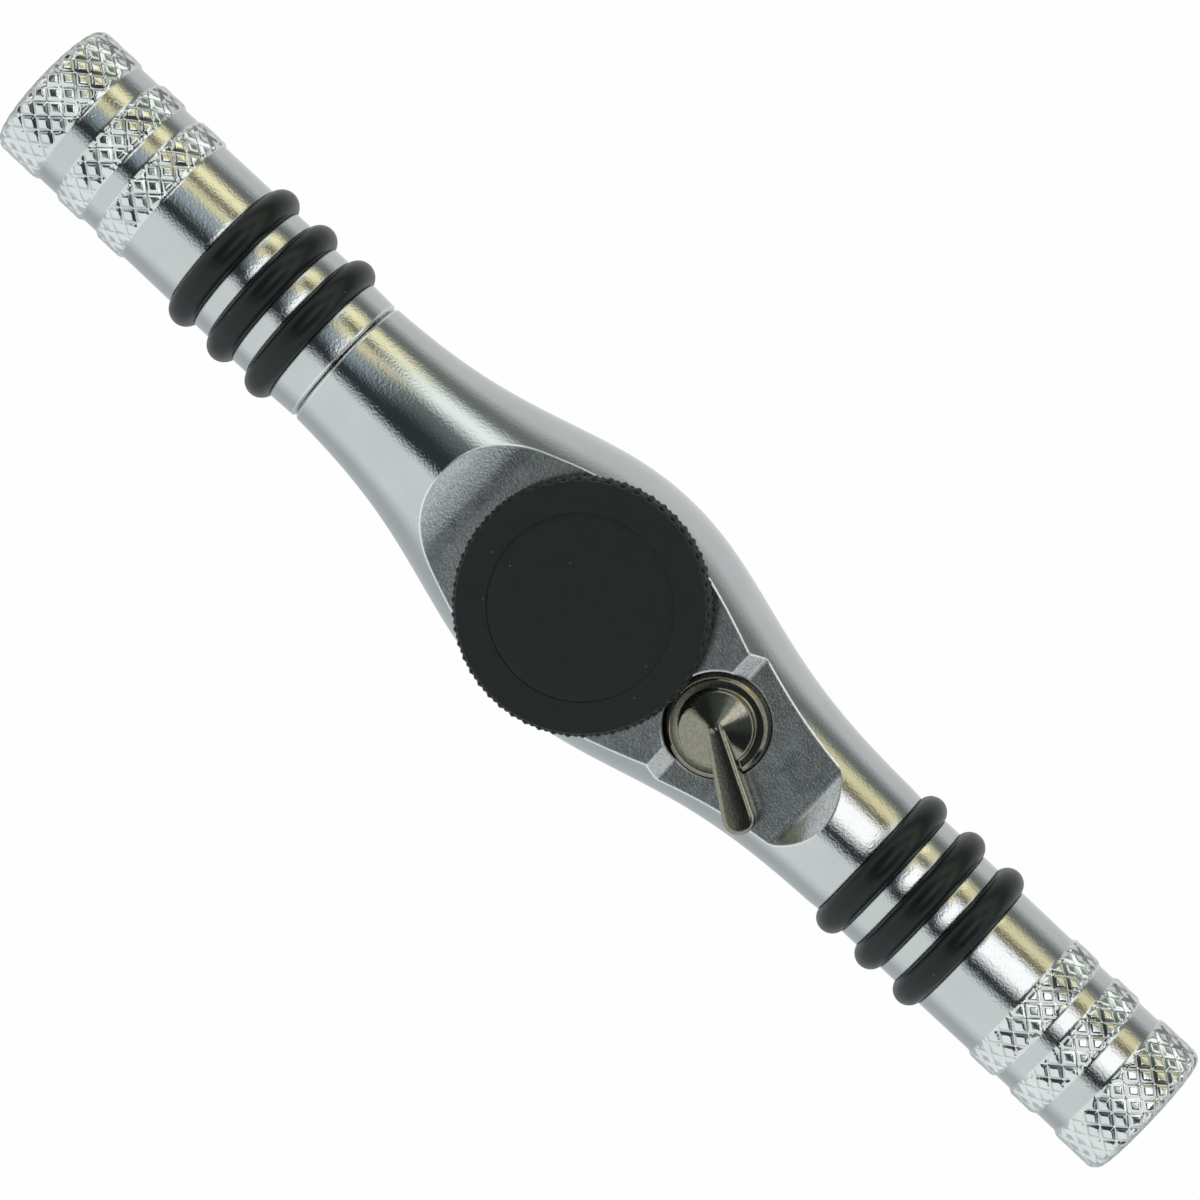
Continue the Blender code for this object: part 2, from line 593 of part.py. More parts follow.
def build_cover(finishes, frame):
    plate = place("cover_plate", prism(pear(0.0), UNDERSIDE_Z, PLATE_TOP), finishes["chrome"], frame)
    below = UNDERSIDE_Z - OVERSHOOT
    combine(plate, cylinder(COLLAR_HOLE_RADIUS, below, 0.0), "DIFFERENCE", "collar_hole_cut")
    head_top = UNDERSIDE_Z + COVER_SCREW_HEAD_DEPTH
    for index, centre in enumerate(COVER_SCREW_PLACES):
        sink = [(0.0, 0.0), (0.0, COVER_SCREW_SHANK + SCREW_CLEARANCE),
                (head_top + SCREW_CLEARANCE, COVER_SCREW_SHANK + SCREW_CLEARANCE),
                (head_top + SCREW_CLEARANCE, COVER_SCREW_HEAD + SCREW_CLEARANCE),
                (below, COVER_SCREW_HEAD + SCREW_CLEARANCE), (below, 0.0)]
        hole = turned(sink, SMALL_SEGMENTS)
        bmesh.ops.translate(hole, verts=hole.verts, vec=(*centre, 0.0))
        combine(plate, hole, "DIFFERENCE", f"screw_sink_cut_{index + 1}")
        build_cover_screw(index + 1, centre, head_top, finishes["ground_steel"], frame)


def build_cover_screw(number, centre, head_top, finish, frame):
    outline = [(COVER_SCREW_TIP, 0.0), (COVER_SCREW_TIP, COVER_SCREW_SHANK),
               (head_top, COVER_SCREW_SHANK), (head_top, COVER_SCREW_HEAD),
               (UNDERSIDE_Z, COVER_SCREW_HEAD), (UNDERSIDE_Z, 0.0)]
    screw = place(f"cover_screw_{number}", turned(outline, SMALL_SEGMENTS), finish, frame)
    screw.location = (*centre, 0.0)
    recess = prism(hexagon(COVER_SCREW_HEAD), UNDERSIDE_Z - OVERSHOOT,
                   UNDERSIDE_Z + COVER_SCREW_RECESS)
    combine(screw, recess, "DIFFERENCE", f"screw_recess_cut_{number}")


# ---------------------------------------------------------------- lever and detent

def lever_outline():
    """Domed head, chamfered disc and grooved shaft of the reversing lever."""
    disc_low, disc_high = LEVER_DISC_Z
    groove_low, groove_high = CLIP_GROOVE_Z
    rise = DOME_TOP - disc_high
    dome = [(disc_high + rise * math.cos(angle), DOME_RADIUS * math.sin(angle))
            for angle in (math.pi / 2.0 * step / DOME_STEPS for step in range(DOME_STEPS + 1))]
    return dome + [(disc_high, LEVER_DISC_RADIUS - LEVER_DISC_CHAMFER),
                   (disc_high - LEVER_DISC_CHAMFER, LEVER_DISC_RADIUS),
                   (disc_low, LEVER_DISC_RADIUS),
                   (disc_low, LEVER_SHAFT_RADIUS),
                   (groove_high, LEVER_SHAFT_RADIUS),
                   (groove_high, CLIP_GROOVE_RADIUS),
                   (groove_low, CLIP_GROOVE_RADIUS),
                   (groove_low, LEVER_SHAFT_RADIUS),
                   (LEVER_SHAFT_BOTTOM, LEVER_SHAFT_RADIUS),
                   (LEVER_SHAFT_BOTTOM, 0.0)]


def thumb_blade():
    """Tapered finger bar with a round tip and softened edges."""
    tip_x = BLADE_REACH - BLADE_TIP_RADIUS
    tip = arc((tip_x, 0.0), BLADE_TIP_RADIUS, -math.pi / 2.0, math.pi / 2.0, TIP_STEPS)
    outline = [(0.0, BLADE_ROOT_HALF_WIDTH), (0.0, -BLADE_ROOT_HALF_WIDTH)] + tip
    bm = prism(outline, *BLADE_Z)
    rims = [edge for edge in bm.edges
            if abs(edge.verts[0].co.z - edge.verts[1].co.z) < MERGE_DISTANCE]
    bmesh.ops.bevel(bm, geom=rims, offset=BLADE_EDGE, segments=2, profile=0.5,
                    affect="EDGES", clamp_overlap=True)
    return bm


def along_x(bm):
    """Lay a shape that was turned about Z down along X, at the detent's height."""
    bmesh.ops.rotate(bm, verts=bm.verts, cent=(0.0, 0.0, 0.0),
                     matrix=Matrix.Rotation(math.pi / 2.0, 3, "Y"))
    bmesh.ops.translate(bm, verts=bm.verts, vec=(0.0, 0.0, DETENT_Z))
    return bm


def build_lever(finishes, frame):
    lever = place("reversing_lever", turned(lever_outline(), ROUND_SEGMENTS),
                  finishes["black_nickel"], frame)
    combine(lever, thumb_blade(), "UNION", "thumb_blade")
    hole = cylinder(DETENT_HOLE_RADIUS, -LEVER_SHAFT_RADIUS - OVERSHOOT, DETENT_HOLE_END,
                    SMALL_SEGMENTS)
    combine(lever, along_x(hole), "DIFFERENCE", "detent_hole_cut")
    start, end = CLIP_MOUTH / 2.0, math.tau - CLIP_MOUTH / 2.0
    outside = arc((0.0, 0.0), CLIP_OUTER, start, end, CLIP_ARC_STEPS)
    inside = arc((0.0, 0.0), CLIP_INNER, end, start, CLIP_ARC_STEPS)
    place("lever_clip", prism(outside + inside, *CLIP_Z), finishes["spring_steel"], frame)


def build_detent(finishes, lever_frame):
    nose = [(-PLUNGER_REACH + PLUNGER_RADIUS * (1.0 - math.cos(angle)),
             PLUNGER_RADIUS * math.sin(angle))
            for angle in (math.pi / 2.0 * step / FILLET_STEPS for step in range(FILLET_STEPS + 1))]
    outline = nose + [(-PLUNGER_REACH + PLUNGER_LENGTH, PLUNGER_RADIUS),
                      (-PLUNGER_REACH + PLUNGER_LENGTH, 0.0)]
    place("detent_plunger", along_x(turned(outline, SMALL_SEGMENTS)),
          finishes["ground_steel"], lever_frame)
    place("detent_spring", along_x(coil()), finishes["spring_steel"], lever_frame)


def coil():
    """Round wire swept along a helix about Z, with flat capped ends."""
    steps = SPRING_TURNS * COIL_STEPS_PER_TURN
    low, high = SPRING_SPAN
    bm = bmesh.new()
    rings = []
    for step in range(steps + 1):
        part = step / steps
        turn = Matrix.Rotation(math.tau * SPRING_TURNS * part, 3, "Z")
        height = low + SPRING_WIRE + (high - low - 2.0 * SPRING_WIRE) * part
        section = arc((SPRING_RADIUS, height), SPRING_WIRE, 0.0,
                      math.tau * (1.0 - 1.0 / COIL_SIDES), COIL_SIDES - 1)
        rings.append([bm.verts.new(turn @ Vector((x, 0.0, z))) for x, z in section])
    for lower, upper in zip(rings, rings[1:]):
        for index in range(COIL_SIDES):
            after = (index + 1) % COIL_SIDES
            bm.faces.new((lower[index], lower[after], upper[after], upper[index]))
    bm.faces.new(rings[0])
    bm.faces.new(rings[-1])
    bmesh.ops.recalc_face_normals(bm, faces=bm.faces)
    return bm


# ---------------------------------------------------------------- pawl

def cam_point(lever_turn):
    """Back face of the pawl where the plunger's tip passes, with the pawl centred."""
    reach = PLUNGER_REACH + CAM_GAP
    tip = (LEVER_X - reach * math.cos(lever_turn), reach * math.sin(lever_turn))
    rock = PAWL_ROCK * lever_turn / -LEVER_REST_TURN
    return turned_about(tip, PAWL_X, -rock)


def pawl_side():
    """Half of the pawl's outline, from its front face round to its cam's end."""
    engaged = (NOSE_RADIUS * math.cos(NOSE_ANGLE), NOSE_RADIUS * math.sin(NOSE_ANGLE))
    tip = Vector(turned_about(engaged, PAWL_X, -PAWL_ROCK))
    lean = NOSE_ANGLE - PAWL_ROCK
    back = Vector((math.cos(lean), math.sin(lean)))
    across = Vector((-back.y, back.x))
    spread = NOSE_TIP_HALF_WIDTH + NOSE_LENGTH * math.tan(NOSE_HALF_ANGLE)
    nose = [tip + back * NOSE_LENGTH - across * spread,
            tip - across * NOSE_TIP_HALF_WIDTH,
            tip + across * NOSE_TIP_HALF_WIDTH,
            tip + back * NOSE_LENGTH + across * spread]
    return [tuple(point) for point in nose] + [NOSE_SHOULDER, EAR_SHOULDER, EAR_CORNER]


def build_pawl(finish, frame):
    side = pawl_side()
    cam = [cam_point(CAM_SWEEP * (1.0 - 2.0 * step / CAM_STEPS)) for step in range(CAM_STEPS + 1)]
    other = [(x, -y) for x, y in reversed(side)]
    outline = [(PAWL_FRONT_X, 0.0)] + side + cam + other
    local = [(x - PAWL_X, y) for x, y in outline]
    pawl = place("pawl", prism(local, *PAWL_Z), finish, frame)
    combine(pawl, cylinder(PAWL_HOLE_RADIUS, -OVERSHOOT * 2.0, OVERSHOOT * 2.0, SMALL_SEGMENTS),
            "DIFFERENCE", "pawl_hole_cut")


# ---------------------------------------------------------------- whole tool

def main():
    clear_scene()
    finishes = {name: make_finish(name) for name in FINISHES}
    handle = make_axis("handle_frame")
    cap_slide = make_axis("cap_slide_frame", parent=handle)
    cap = make_axis("cap_turn_axis", parent=cap_slide)
    drive = make_axis("drive_axis", parent=handle)
    lever = make_axis("lever_axis", (LEVER_X, 0.0, 0.0), LEVER_REST_TURN, handle)
    pawl = make_axis("pawl_axis", (PAWL_X, 0.0, 0.0), PAWL_ROCK, handle)
    build_handle(finishes["chrome"], handle)
    build_rings("arm", FIRST_RING_ARM, 1.0, finishes["black_rubber"], handle)
    build_cover(finishes, handle)
    pin = place("pawl_pin", cylinder(PAWL_PIN_RADIUS, *PAWL_PIN_Z, SMALL_SEGMENTS),
                finishes["ground_steel"], handle)
    pin.location = (PAWL_X, 0.0, 0.0)
    build_cap(finishes["chrome"], cap)
    build_rings("cap", FIRST_RING_CAP, -1.0, finishes["black_rubber"], cap_slide)
    build_spindle(finishes["ground_steel"], drive)
    build_wheel(finishes["black_wheel"], drive)
    build_wheel_fittings(finishes, drive)
    build_lever(finishes, lever)
    build_detent(finishes, lever)
    build_pawl(finishes["ground_steel"], pawl)


main()
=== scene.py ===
"""Looks of the thumb-wheel ratcheting driver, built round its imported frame.

Lengths are in metres.  The handle lies along X, the thumb wheel turns about Z, and the
storage cap is the -X arm.
"""

import json
import math

import bpy
import numpy as np
from mathutils import Matrix, Vector


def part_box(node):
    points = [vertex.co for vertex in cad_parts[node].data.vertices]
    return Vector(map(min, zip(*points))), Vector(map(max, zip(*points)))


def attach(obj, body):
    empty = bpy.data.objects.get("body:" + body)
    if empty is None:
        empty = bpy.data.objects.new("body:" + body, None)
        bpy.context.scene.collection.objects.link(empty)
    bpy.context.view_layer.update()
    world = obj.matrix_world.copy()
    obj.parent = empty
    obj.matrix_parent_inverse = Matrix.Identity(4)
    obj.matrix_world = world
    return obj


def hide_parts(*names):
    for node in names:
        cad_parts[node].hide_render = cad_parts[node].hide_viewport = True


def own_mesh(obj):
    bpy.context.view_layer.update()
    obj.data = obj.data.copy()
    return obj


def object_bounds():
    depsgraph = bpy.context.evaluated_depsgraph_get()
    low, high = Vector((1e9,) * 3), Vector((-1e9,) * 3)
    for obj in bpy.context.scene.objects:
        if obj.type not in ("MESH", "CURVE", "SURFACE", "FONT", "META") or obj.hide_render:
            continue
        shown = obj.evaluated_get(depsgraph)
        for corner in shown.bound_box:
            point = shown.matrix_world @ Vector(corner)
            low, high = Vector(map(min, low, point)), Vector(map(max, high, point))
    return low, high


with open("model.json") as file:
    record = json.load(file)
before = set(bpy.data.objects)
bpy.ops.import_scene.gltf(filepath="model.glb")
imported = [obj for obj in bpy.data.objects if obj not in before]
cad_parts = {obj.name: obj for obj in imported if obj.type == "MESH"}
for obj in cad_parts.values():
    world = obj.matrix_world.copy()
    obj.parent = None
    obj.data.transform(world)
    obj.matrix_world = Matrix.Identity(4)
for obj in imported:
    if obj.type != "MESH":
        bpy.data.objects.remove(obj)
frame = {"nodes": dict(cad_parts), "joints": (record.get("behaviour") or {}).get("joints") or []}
CAD_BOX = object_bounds()
MM = 0.001

# Handle: turned head and arms
HEAD_RADIUS = 12.59 * MM
ARM_RADIUS = 7.0 * MM
SOCKET_NECK_RADIUS = 6.75 * MM
HEAD_SPREAD = 17.13 * MM
HEAD_POWER = 2.08
HEAD_END = 33.5 * MM
HALF_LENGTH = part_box("handle_body")[1].x
END_FILLET = 1.1 * MM
HEAD_ROW = 0.22 * MM
PLAIN_ROW = 0.5 * MM
CORNER = 0.14 * MM

# Knurled bands and grip ring grooves
BAND_RADIUS = 7.25 * MM
BAND_NECK_RADIUS = 6.97 * MM
BAND_SPANS = ((53.7 * MM, 57.35 * MM), (58.85 * MM, 62.4 * MM), (64.5 * MM, 80.0 * MM))
BAND_EDGE = 0.6 * MM
BAND_ZONE_START = 53.2 * MM
KNURL_STARTS = 24
KNURL_PERIOD = 2.1 * MM
KNURL_GROOVE = 0.34 * MM
KNURL_DEPTH = 0.26 * MM
COLUMNS_PER_START = 20
ARM_COLUMNS = KNURL_STARTS * COLUMNS_PER_START
KNURL_FADE = 0.35 * MM
KNURL_ROW = KNURL_PERIOD / COLUMNS_PER_START
GROOVE_ROOT = 5.08 * MM
GROOVE_HALF_WIDTH = 1.51 * MM
GROOVE_CORNER = 0.04 * MM

# Storage cap joint and thread
JOINT_X = 31.9 * MM
JOINT_GAP = 0.1 * MM
JOINT_CHAMFER = 0.25 * MM
THREAD_SOCKET_RADIUS = 4.75 * MM
THREAD_SPIGOT_RADIUS = 4.6 * MM
THREAD_SOCKET_END = 24.9 * MM
THREAD_SPIGOT_END = 25.3 * MM
THREAD_PITCH = 1.0 * MM
THREAD_DEPTH = 0.42 * MM
THREAD_ROW = 0.1 * MM
STORE_RADIUS = 3.75 * MM
STORE_END = 64.8 * MM

# Milled flats
WHEEL_FLAT_Z = 6.9 * MM
LEVER_FLAT_Z = 5.56 * MM
NEAR_RUNOUT_START = 12.5 * MM
NEAR_RUNOUT = 8.6 * MM
NEAR_RUNOUT_SWEEP = math.radians(60.0)
STEP_TOP_X = 14.15 * MM
STEP_FOOT_X = 15.65 * MM
STEP_TOP_SOFTNESS = 0.04 * MM
STEP_SOFTNESS = 0.40 * MM
STEP_LEAD = 0.1 * MM
LEVER_FLAT_END = 27.5 * MM
FAR_RUNOUT_SLOPE = math.tan(math.radians(34.5))
FAR_RUNOUT_SOFTNESS = 0.5 * MM
SOFT_ROW = 0.1 * MM
SOFT_SAMPLES = 25
UNDERSIDE_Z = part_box("cover_plate")[0].z
UNDERSIDE_START = 15.3 * MM
UNDERSIDE_END = 26.5 * MM
UNDERSIDE_RUNOUT = 3.0 * MM

# Mechanism chamber
CHAMBER_ROOF = 2.2 * MM
CHAMBER_RADIUS = 7.0 * MM
POCKET_HALF_WIDTH = 5.0 * MM
POCKET_END = 13.0 * MM
LEVER_POCKET_RADIUS = 3.5 * MM
JOURNAL_BORE_RADIUS = 4.35 * MM
PIN_HOLE_RADIUS = 0.97 * MM
PIN_HOLE_ROOF = 4.1 * MM

# Cover plate and screws
PLATE_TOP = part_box("cover_plate")[1].z
PLATE_SEAT = -5.3 * MM
PLATE_BIG_X = -1.2 * MM
PLATE_BIG_RADIUS = 9.6 * MM
PLATE_SMALL_X = 18.5 * MM
PLATE_SMALL_RADIUS = 4.6 * MM
PLATE_GAP = 0.1 * MM
PLATE_EDGE = 0.18 * MM
COLLAR_HOLE_RADIUS = 5.95 * MM
COVER_SCREWS = ("cover_screw_1", "cover_screw_2", "cover_screw_3")
SCREW_HEAD = 1.45 * MM
SCREW_SHANK = 0.75 * MM
SCREW_HEAD_DEPTH = 0.8 * MM
SCREW_EDGE = 0.12 * MM
SCREW_HOLE_RADIUS = 0.87 * MM
SCREW_HOLE_END = -1.5 * MM
SCREW_SINK_GAP = 0.12 * MM
SCREW_RECESS_FLATS = 1.5 * MM
SCREW_RECESS_TURN = 0.4
SCREW_RECESS_DEPTH = 0.5 * MM

# Drive spindle
TOOTH_COUNT = 36
GEAR_TIP = 6.6 * MM
GEAR_ROOT = 6.0 * MM
GEAR_LAND = 0.16
GEAR_SPAN = (-4.9 * MM, 1.9 * MM)
COLLAR_RADIUS = 5.8 * MM
COLLAR_CHAMFER = 0.4 * MM
JOURNAL_RADIUS = 4.25 * MM
JOURNAL_TOP = 7.0 * MM
NECK_FLATS = 5.6 * MM
BIT_FLATS = 6.45 * MM
BIT_LEAD_IN = 0.5 * MM
BIT_SOCKET_ROOF = -0.9 * MM
BIT_MOUTH_GROWTH = 0.05 * MM
MAGNET_HOLE_RADIUS = 3.1 * MM
MAGNET_GAP = 0.1 * MM
MAGNET_HOLE_SINK = 1.0 * MM
SCREW_WELL_RADIUS = 1.5 * MM
SCREW_WELL_FLOOR = 3.2 * MM
SPINDLE_EDGE = 0.1 * MM

# Thumb wheel
WHEEL_STARTS = 54
WHEEL_PERIOD = 1.4 * MM
WHEEL_GROOVE = 0.60 * MM
WHEEL_DEPTH = 0.44 * MM
WHEEL_EDGE = 0.50 * MM
WHEEL_ROW = 0.0875 * MM
WHEEL_FADE = (0.06 * MM, 0.12 * MM)
WHEEL_TOP_ROWS = (0.10 * MM, 0.25 * MM)
WHEEL_COLUMNS_PER_START = 16
WHEEL_COLUMNS = WHEEL_STARTS * WHEEL_COLUMNS_PER_START
INSERT_GAP = 0.002 * MM
INSERT_EDGE = 0.012 * MM
INSERT_SEAT_Z = 9.4 * MM
HUB_WELL_RADIUS = 6.0 * MM
HUB_WELL_FLOOR = 8.7 * MM
HUB_PLAY = 0.2 * MM
WASHER_ROOM = (6.3 * MM, 8.6 * MM, 7.9 * MM)

# Reversing lever
LEVER_X = next(joint for joint in frame["joints"] if joint["name"] == "lever_flip")["pos_m"][0]
LEVER_REST_TURN = math.radians(-32.0)
LEVER_SEAT_Z = 5.2 * MM
LEVER_SEAT_RADIUS = 4.9 * MM
SEAT_CHAMFER = 0.16 * MM
LEVER_BORE_RADIUS = 2.7 * MM
LEVER_SHAFT_RADIUS = 2.6 * MM
DISC_RADIUS = 4.7 * MM
DISC_Z = (5.4 * MM, 6.9 * MM)
DISC_CHAMFER = 0.33 * MM
DOME_RADIUS = 3.56 * MM
DOME_SLOPE = math.tan(math.radians(21.0))
DOME_BLUNT = 0.15 * MM
DOME_STEPS = 24
DOME_ROOT = 0.18 * MM
DOME_SHOULDER = 0.35 * MM
DOME_BRIM_SHARE = 0.45
DOME_BEND = (0.25, 0.02 * MM)
DOME_BEND_STEPS = 6
LEVER_EDGE = 0.2 * MM
DOME_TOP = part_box("reversing_lever")[1].z
CLIP_GROOVE = (1.9 * MM, 1.15 * MM, 1.85 * MM)
BLADE_BACK_X = -1.2 * MM
BLADE_CREST_X = -0.35 * MM
BLADE_BACK_SLOPE = 0.8
BLADE_TIP_X = 8.45 * MM
BLADE_BACK_HALF = 0.85 * MM
BLADE_TIP_HALF = 1.55 * MM
BLADE_BOTTOM = 6.1 * MM
BLADE_DROP = 0.04 * MM
BLADE_RISE = 0.30 * MM
BLADE_ROW = 0.3 * MM
BLADE_LEVELS = ((0.20 * MM, 0.0), (0.05 * MM, 0.04), (0.0, 0.10), (0.04 * MM, 0.86),
                (0.10 * MM, 0.93), (0.28 * MM, 0.985), (0.36 * MM, 0.996), (0.50 * MM, 1.0))
DETENT_HOLE_RADIUS = 0.95 * MM
DETENT_HOLE_END = 1.6 * MM
DETENT_Z = -1.5 * MM
SPRING_RADIUS = 0.6 * MM
SPRING_WIRE = 0.13 * MM
SPRING_TURNS = 4
SPRING_SPAN = (-1.0 * MM, 1.4 * MM)
SPRING_STEPS = 96
SPRING_SECTION = 10

# Grip rings
RING_LABELS = ("inner", "middle", "outer")
RING_WIRE = 1.5 * MM
RING_COLUMNS = 128
RING_SECTION = 40

# Mesh quality and finishes
ROUND_COLUMNS = 128
SMALL_COLUMNS = 48
ARC_STEPS = 32
FACE_ROW = 1.0 * MM
OVERSHOOT = 5.0 * MM
FACE_TOLERANCE = 0.03 * MM
CLOSE = 0.01 * MM
TINY = 0.001 * MM
ON_AXIS = 1e-7
NO_LENGTH = 1e-9
SHARP_ANGLE = math.radians(28.0)
# Painted edge highlights: the normal agreement over which they fade in, and the colours painted
# along softened edges
EDGE_AGREEMENT = (0.93, 0.995)
PALE_EDGE_HIGHLIGHT = (0.92, 0.94, 0.94)
NICKEL_EDGE_HIGHLIGHT = (0.42, 0.41, 0.35)
CLOUD_SIZE = 4.0 * MM
POLISH_SIZE = 1.6 * MM
BLACK_CLOUD_SIZE = 2.5 * MM
SHEEN_SIZE = 0.8 * MM
SPECK_SIZE = 0.13 * MM
SPECK_CORE = 0.6

# Camera
PICTURE_TURN = math.radians(43.35)
CAMERA_DISTANCE = 0.546
CAMERA_LEAN = Vector((0.040, 0.172, 1.0))
CAMERA_TARGET = Vector((0.45 * MM, 0.06 * MM, 0.0))
CAMERA_LENS = 176.5
CAMERA_SENSOR = 36.0
CAMERA_CLIP = (0.01, 10.0)

# Floor
FLOOR_SIZE = 2.0
FLOOR_GAP = 0.2 * MM
FLOOR_COLOUR = (0.99, 0.99, 0.99)

# Studio: what the polished metal sees, by angle in degrees from straight up towards +Y
FLOOR_FRONT = (0.59, 0.63, 0.65)
SOFTBOX = (1.00, 1.05, 1.05)
OVERHEAD_GAP = (0.045, 0.056, 0.060)
GREY_SCRIM = (0.48, 0.57, 0.62)
WHITE_SCRIM = (1.80, 1.80, 1.80)
WARM_CARD = (1.15, 1.06, 0.66)
WARM_CARD_BRIGHT = (1.55, 1.44, 0.88)
CARD_SHADOW = (0.28, 0.26, 0.17)
HORIZON_GAP = (0.24, 0.26, 0.25)
FLOOR_BEHIND = (0.78, 0.80, 0.80)
DIM_SCRIM = (0.20, 0.24, 0.24)
PALE_CARD = (1.40, 1.50, 1.42)
END_LIGHT = (0.92, 0.95, 0.95)
CARDS_LEFT = (
    (-180.0, -112.0, FLOOR_FRONT),
    (-86.0, -22.0, SOFTBOX),
    (-6.0, 5.0, OVERHEAD_GAP),
    (24.0, 31.0, GREY_SCRIM),
    (42.0, 47.0, WARM_CARD),
    (56.0, 60.0, CARD_SHADOW),
    (72.0, 79.0, WARM_CARD_BRIGHT),
    (93.0, 103.0, HORIZON_GAP),
    (124.0, 180.0, FLOOR_BEHIND),
)
CARDS_RIGHT = (
    (-180.0, -112.0, FLOOR_FRONT),
    (-86.0, -24.0, SOFTBOX),
    (-10.0, -2.0, OVERHEAD_GAP),
    (18.0, 42.0, WHITE_SCRIM),
    (56.0, 60.0, CARD_SHADOW),
    (70.0, 79.0, WARM_CARD),
    (93.0, 103.0, HORIZON_GAP),
    (124.0, 180.0, FLOOR_BEHIND),
)
CARDS_BESIDE = (
    (-180.0, -112.0, FLOOR_FRONT),
    (-86.0, -24.0, SOFTBOX),
    (-11.0, 12.0, OVERHEAD_GAP),
    (36.0, 41.0, DIM_SCRIM),
    (60.0, 70.0, PALE_CARD),
    (88.0, 101.0, HORIZON_GAP),
    (124.0, 180.0, FLOOR_BEHIND),
)
CARDS_FAR_SIDE = (
    CARDS_BESIDE[0],
    (-86.0, -14.0, SOFTBOX),
    (-9.0, 12.0, OVERHEAD_GAP),
    *CARDS_BESIDE[3:],
)
CARDS_ENDS = (
    (-180.0, -112.0, FLOOR_FRONT),
    (-86.0, 70.0, END_LIGHT),
    (93.0, 103.0, HORIZON_GAP),
    (124.0, 180.0, FLOOR_BEHIND),
)
SPLIT_MIDDLE = (-0.09, 0.01)
SPLIT_BESIDE = (0.16, 0.32)
SPLIT_FAR_SIDE = (0.28, 0.42)
SPLIT_ENDS = (0.74, 0.88)
RADIANCE_SCALE = 2.0


# -------- material helpers

def new_material(name):
    material = bpy.data.materials.new(name)
    material.use_nodes = True
    tree = material.node_tree
    return material, tree, tree.nodes["Principled BSDF"]


def noise(tree, size, detail=2.0, stretch=(1.0, 1.0, 1.0)):
    """Fractal noise whose features are about size across, in the piece's own space."""
    place = tree.nodes.new("ShaderNodeTexCoord")
    mapping = tree.nodes.new("ShaderNodeMapping")
    mapping.inputs["Scale"].default_value = stretch
    texture = tree.nodes.new("ShaderNodeTexNoise")
    texture.inputs["Scale"].default_value = 1.0 / size
    texture.inputs["Detail"].default_value = detail
    tree.links.new(place.outputs["Object"], mapping.inputs["Vector"])
    tree.links.new(mapping.outputs["Vector"], texture.inputs["Vector"])
    return texture.outputs["Fac"]


def spread(tree, socket, low, high, start=0.3, end=0.7):
    """Maps a noise value between two output levels."""
    node = tree.nodes.new("ShaderNodeMapRange")
    node.inputs["From Min"].default_value = start
    node.inputs["From Max"].default_value = end
    node.inputs["To Min"].default_value = low
    node.inputs["To Max"].default_value = high
    tree.links.new(socket, node.inputs["Value"])
    return node.outputs["Result"]


def bump(tree, height, depth, below=None):
    node = tree.nodes.new("ShaderNodeBump")
    node.inputs["Strength"].default_value = 1.0
    node.inputs["Distance"].default_value = depth
    tree.links.new(height, node.inputs["Height"])
    if below is not None:
        tree.links.new(below, node.inputs["Normal"])
    return node.outputs["Normal"]


def soft_edges(tree, radius):
    """Shading normal that rounds sharp edges, as plating and tumbling do."""
    node = tree.nodes.new("ShaderNodeBevel")
    node.samples = 6
    node.inputs["Radius"].default_value = radius
    return node.outputs["Normal"]


def mixed_colour(tree, factor, first, second):
    """Mix of two colours, each either three numbers or another node's output."""
    node = tree.nodes.new("ShaderNodeMix")
    node.data_type = "RGBA"
    for socket, colour in (("A", first), ("B", second)):
        if isinstance(colour, tuple):
            node.inputs[socket].default_value = (*colour, 1.0)
        else:
            tree.links.new(colour, node.inputs[socket])
    tree.links.new(factor, node.inputs["Factor"])
    return node.outputs["Result"]


def paint_edge_highlights(tree, shader, tint, soft, highlight_colour):
    """Paints highlights into the colour wherever the softened normal leaves the surface's own
    normal.
    """
    surface = tree.nodes.new("ShaderNodeNewGeometry")
    agreement = tree.nodes.new("ShaderNodeVectorMath")
    agreement.operation = "DOT_PRODUCT"
    tree.links.new(soft, agreement.inputs[0])
    tree.links.new(surface.outputs["Normal"], agreement.inputs[1])
    highlight_share = spread(tree, agreement.outputs["Value"], 1.0, 0.0, *EDGE_AGREEMENT)
    tree.links.new(mixed_colour(tree, highlight_share, tint, highlight_colour), shader.inputs["Base Color"])


def metal(name, colour, stain, roughness, peel_size, peel_depth, edge=0.0,
          stretch=(1.0, 1.0, 1.0), cloud_size=CLOUD_SIZE, highlight_colour=PALE_EDGE_HIGHLIGHT):
    """Plated or ground metal: orange peel, cloudy stains, a varying polish and, where edge is
    set, painted highlights along its edges.
    """
    material, tree, shader = new_material(name)
    shader.inputs["Metallic"].default_value = 1.0
    cloud = noise(tree, cloud_size, 3.0)
    tint = mixed_colour(tree, spread(tree, cloud, 0.0, 1.0), colour, stain)
    tree.links.new(tint, shader.inputs["Base Color"])
    polish = spread(tree, noise(tree, POLISH_SIZE, 4.0), *roughness)
    tree.links.new(polish, shader.inputs["Roughness"])
    below = None
    if edge > 0.0:
        below = soft_edges(tree, edge)
        # painted highlight: the base colour is lightened along the softened edges
        paint_edge_highlights(tree, shader, tint, below, highlight_colour)
    fine = noise(tree, peel_size, 2.0, stretch)
    tree.links.new(bump(tree, fine, peel_depth, below), shader.inputs["Normal"])
    return material


def specks(tree, spacing, size):
    """Mask of a few round specks of dust, about spacing apart."""
    place = tree.nodes.new("ShaderNodeTexCoord")
    cells = tree.nodes.new("ShaderNodeTexVoronoi")
    cells.inputs["Scale"].default_value = 1.0 / spacing
    tree.links.new(place.outputs["Object"], cells.inputs["Vector"])
    rim = size / spacing
    return spread(tree, cells.outputs["Distance"], 1.0, 0.0, SPECK_CORE * rim, rim)


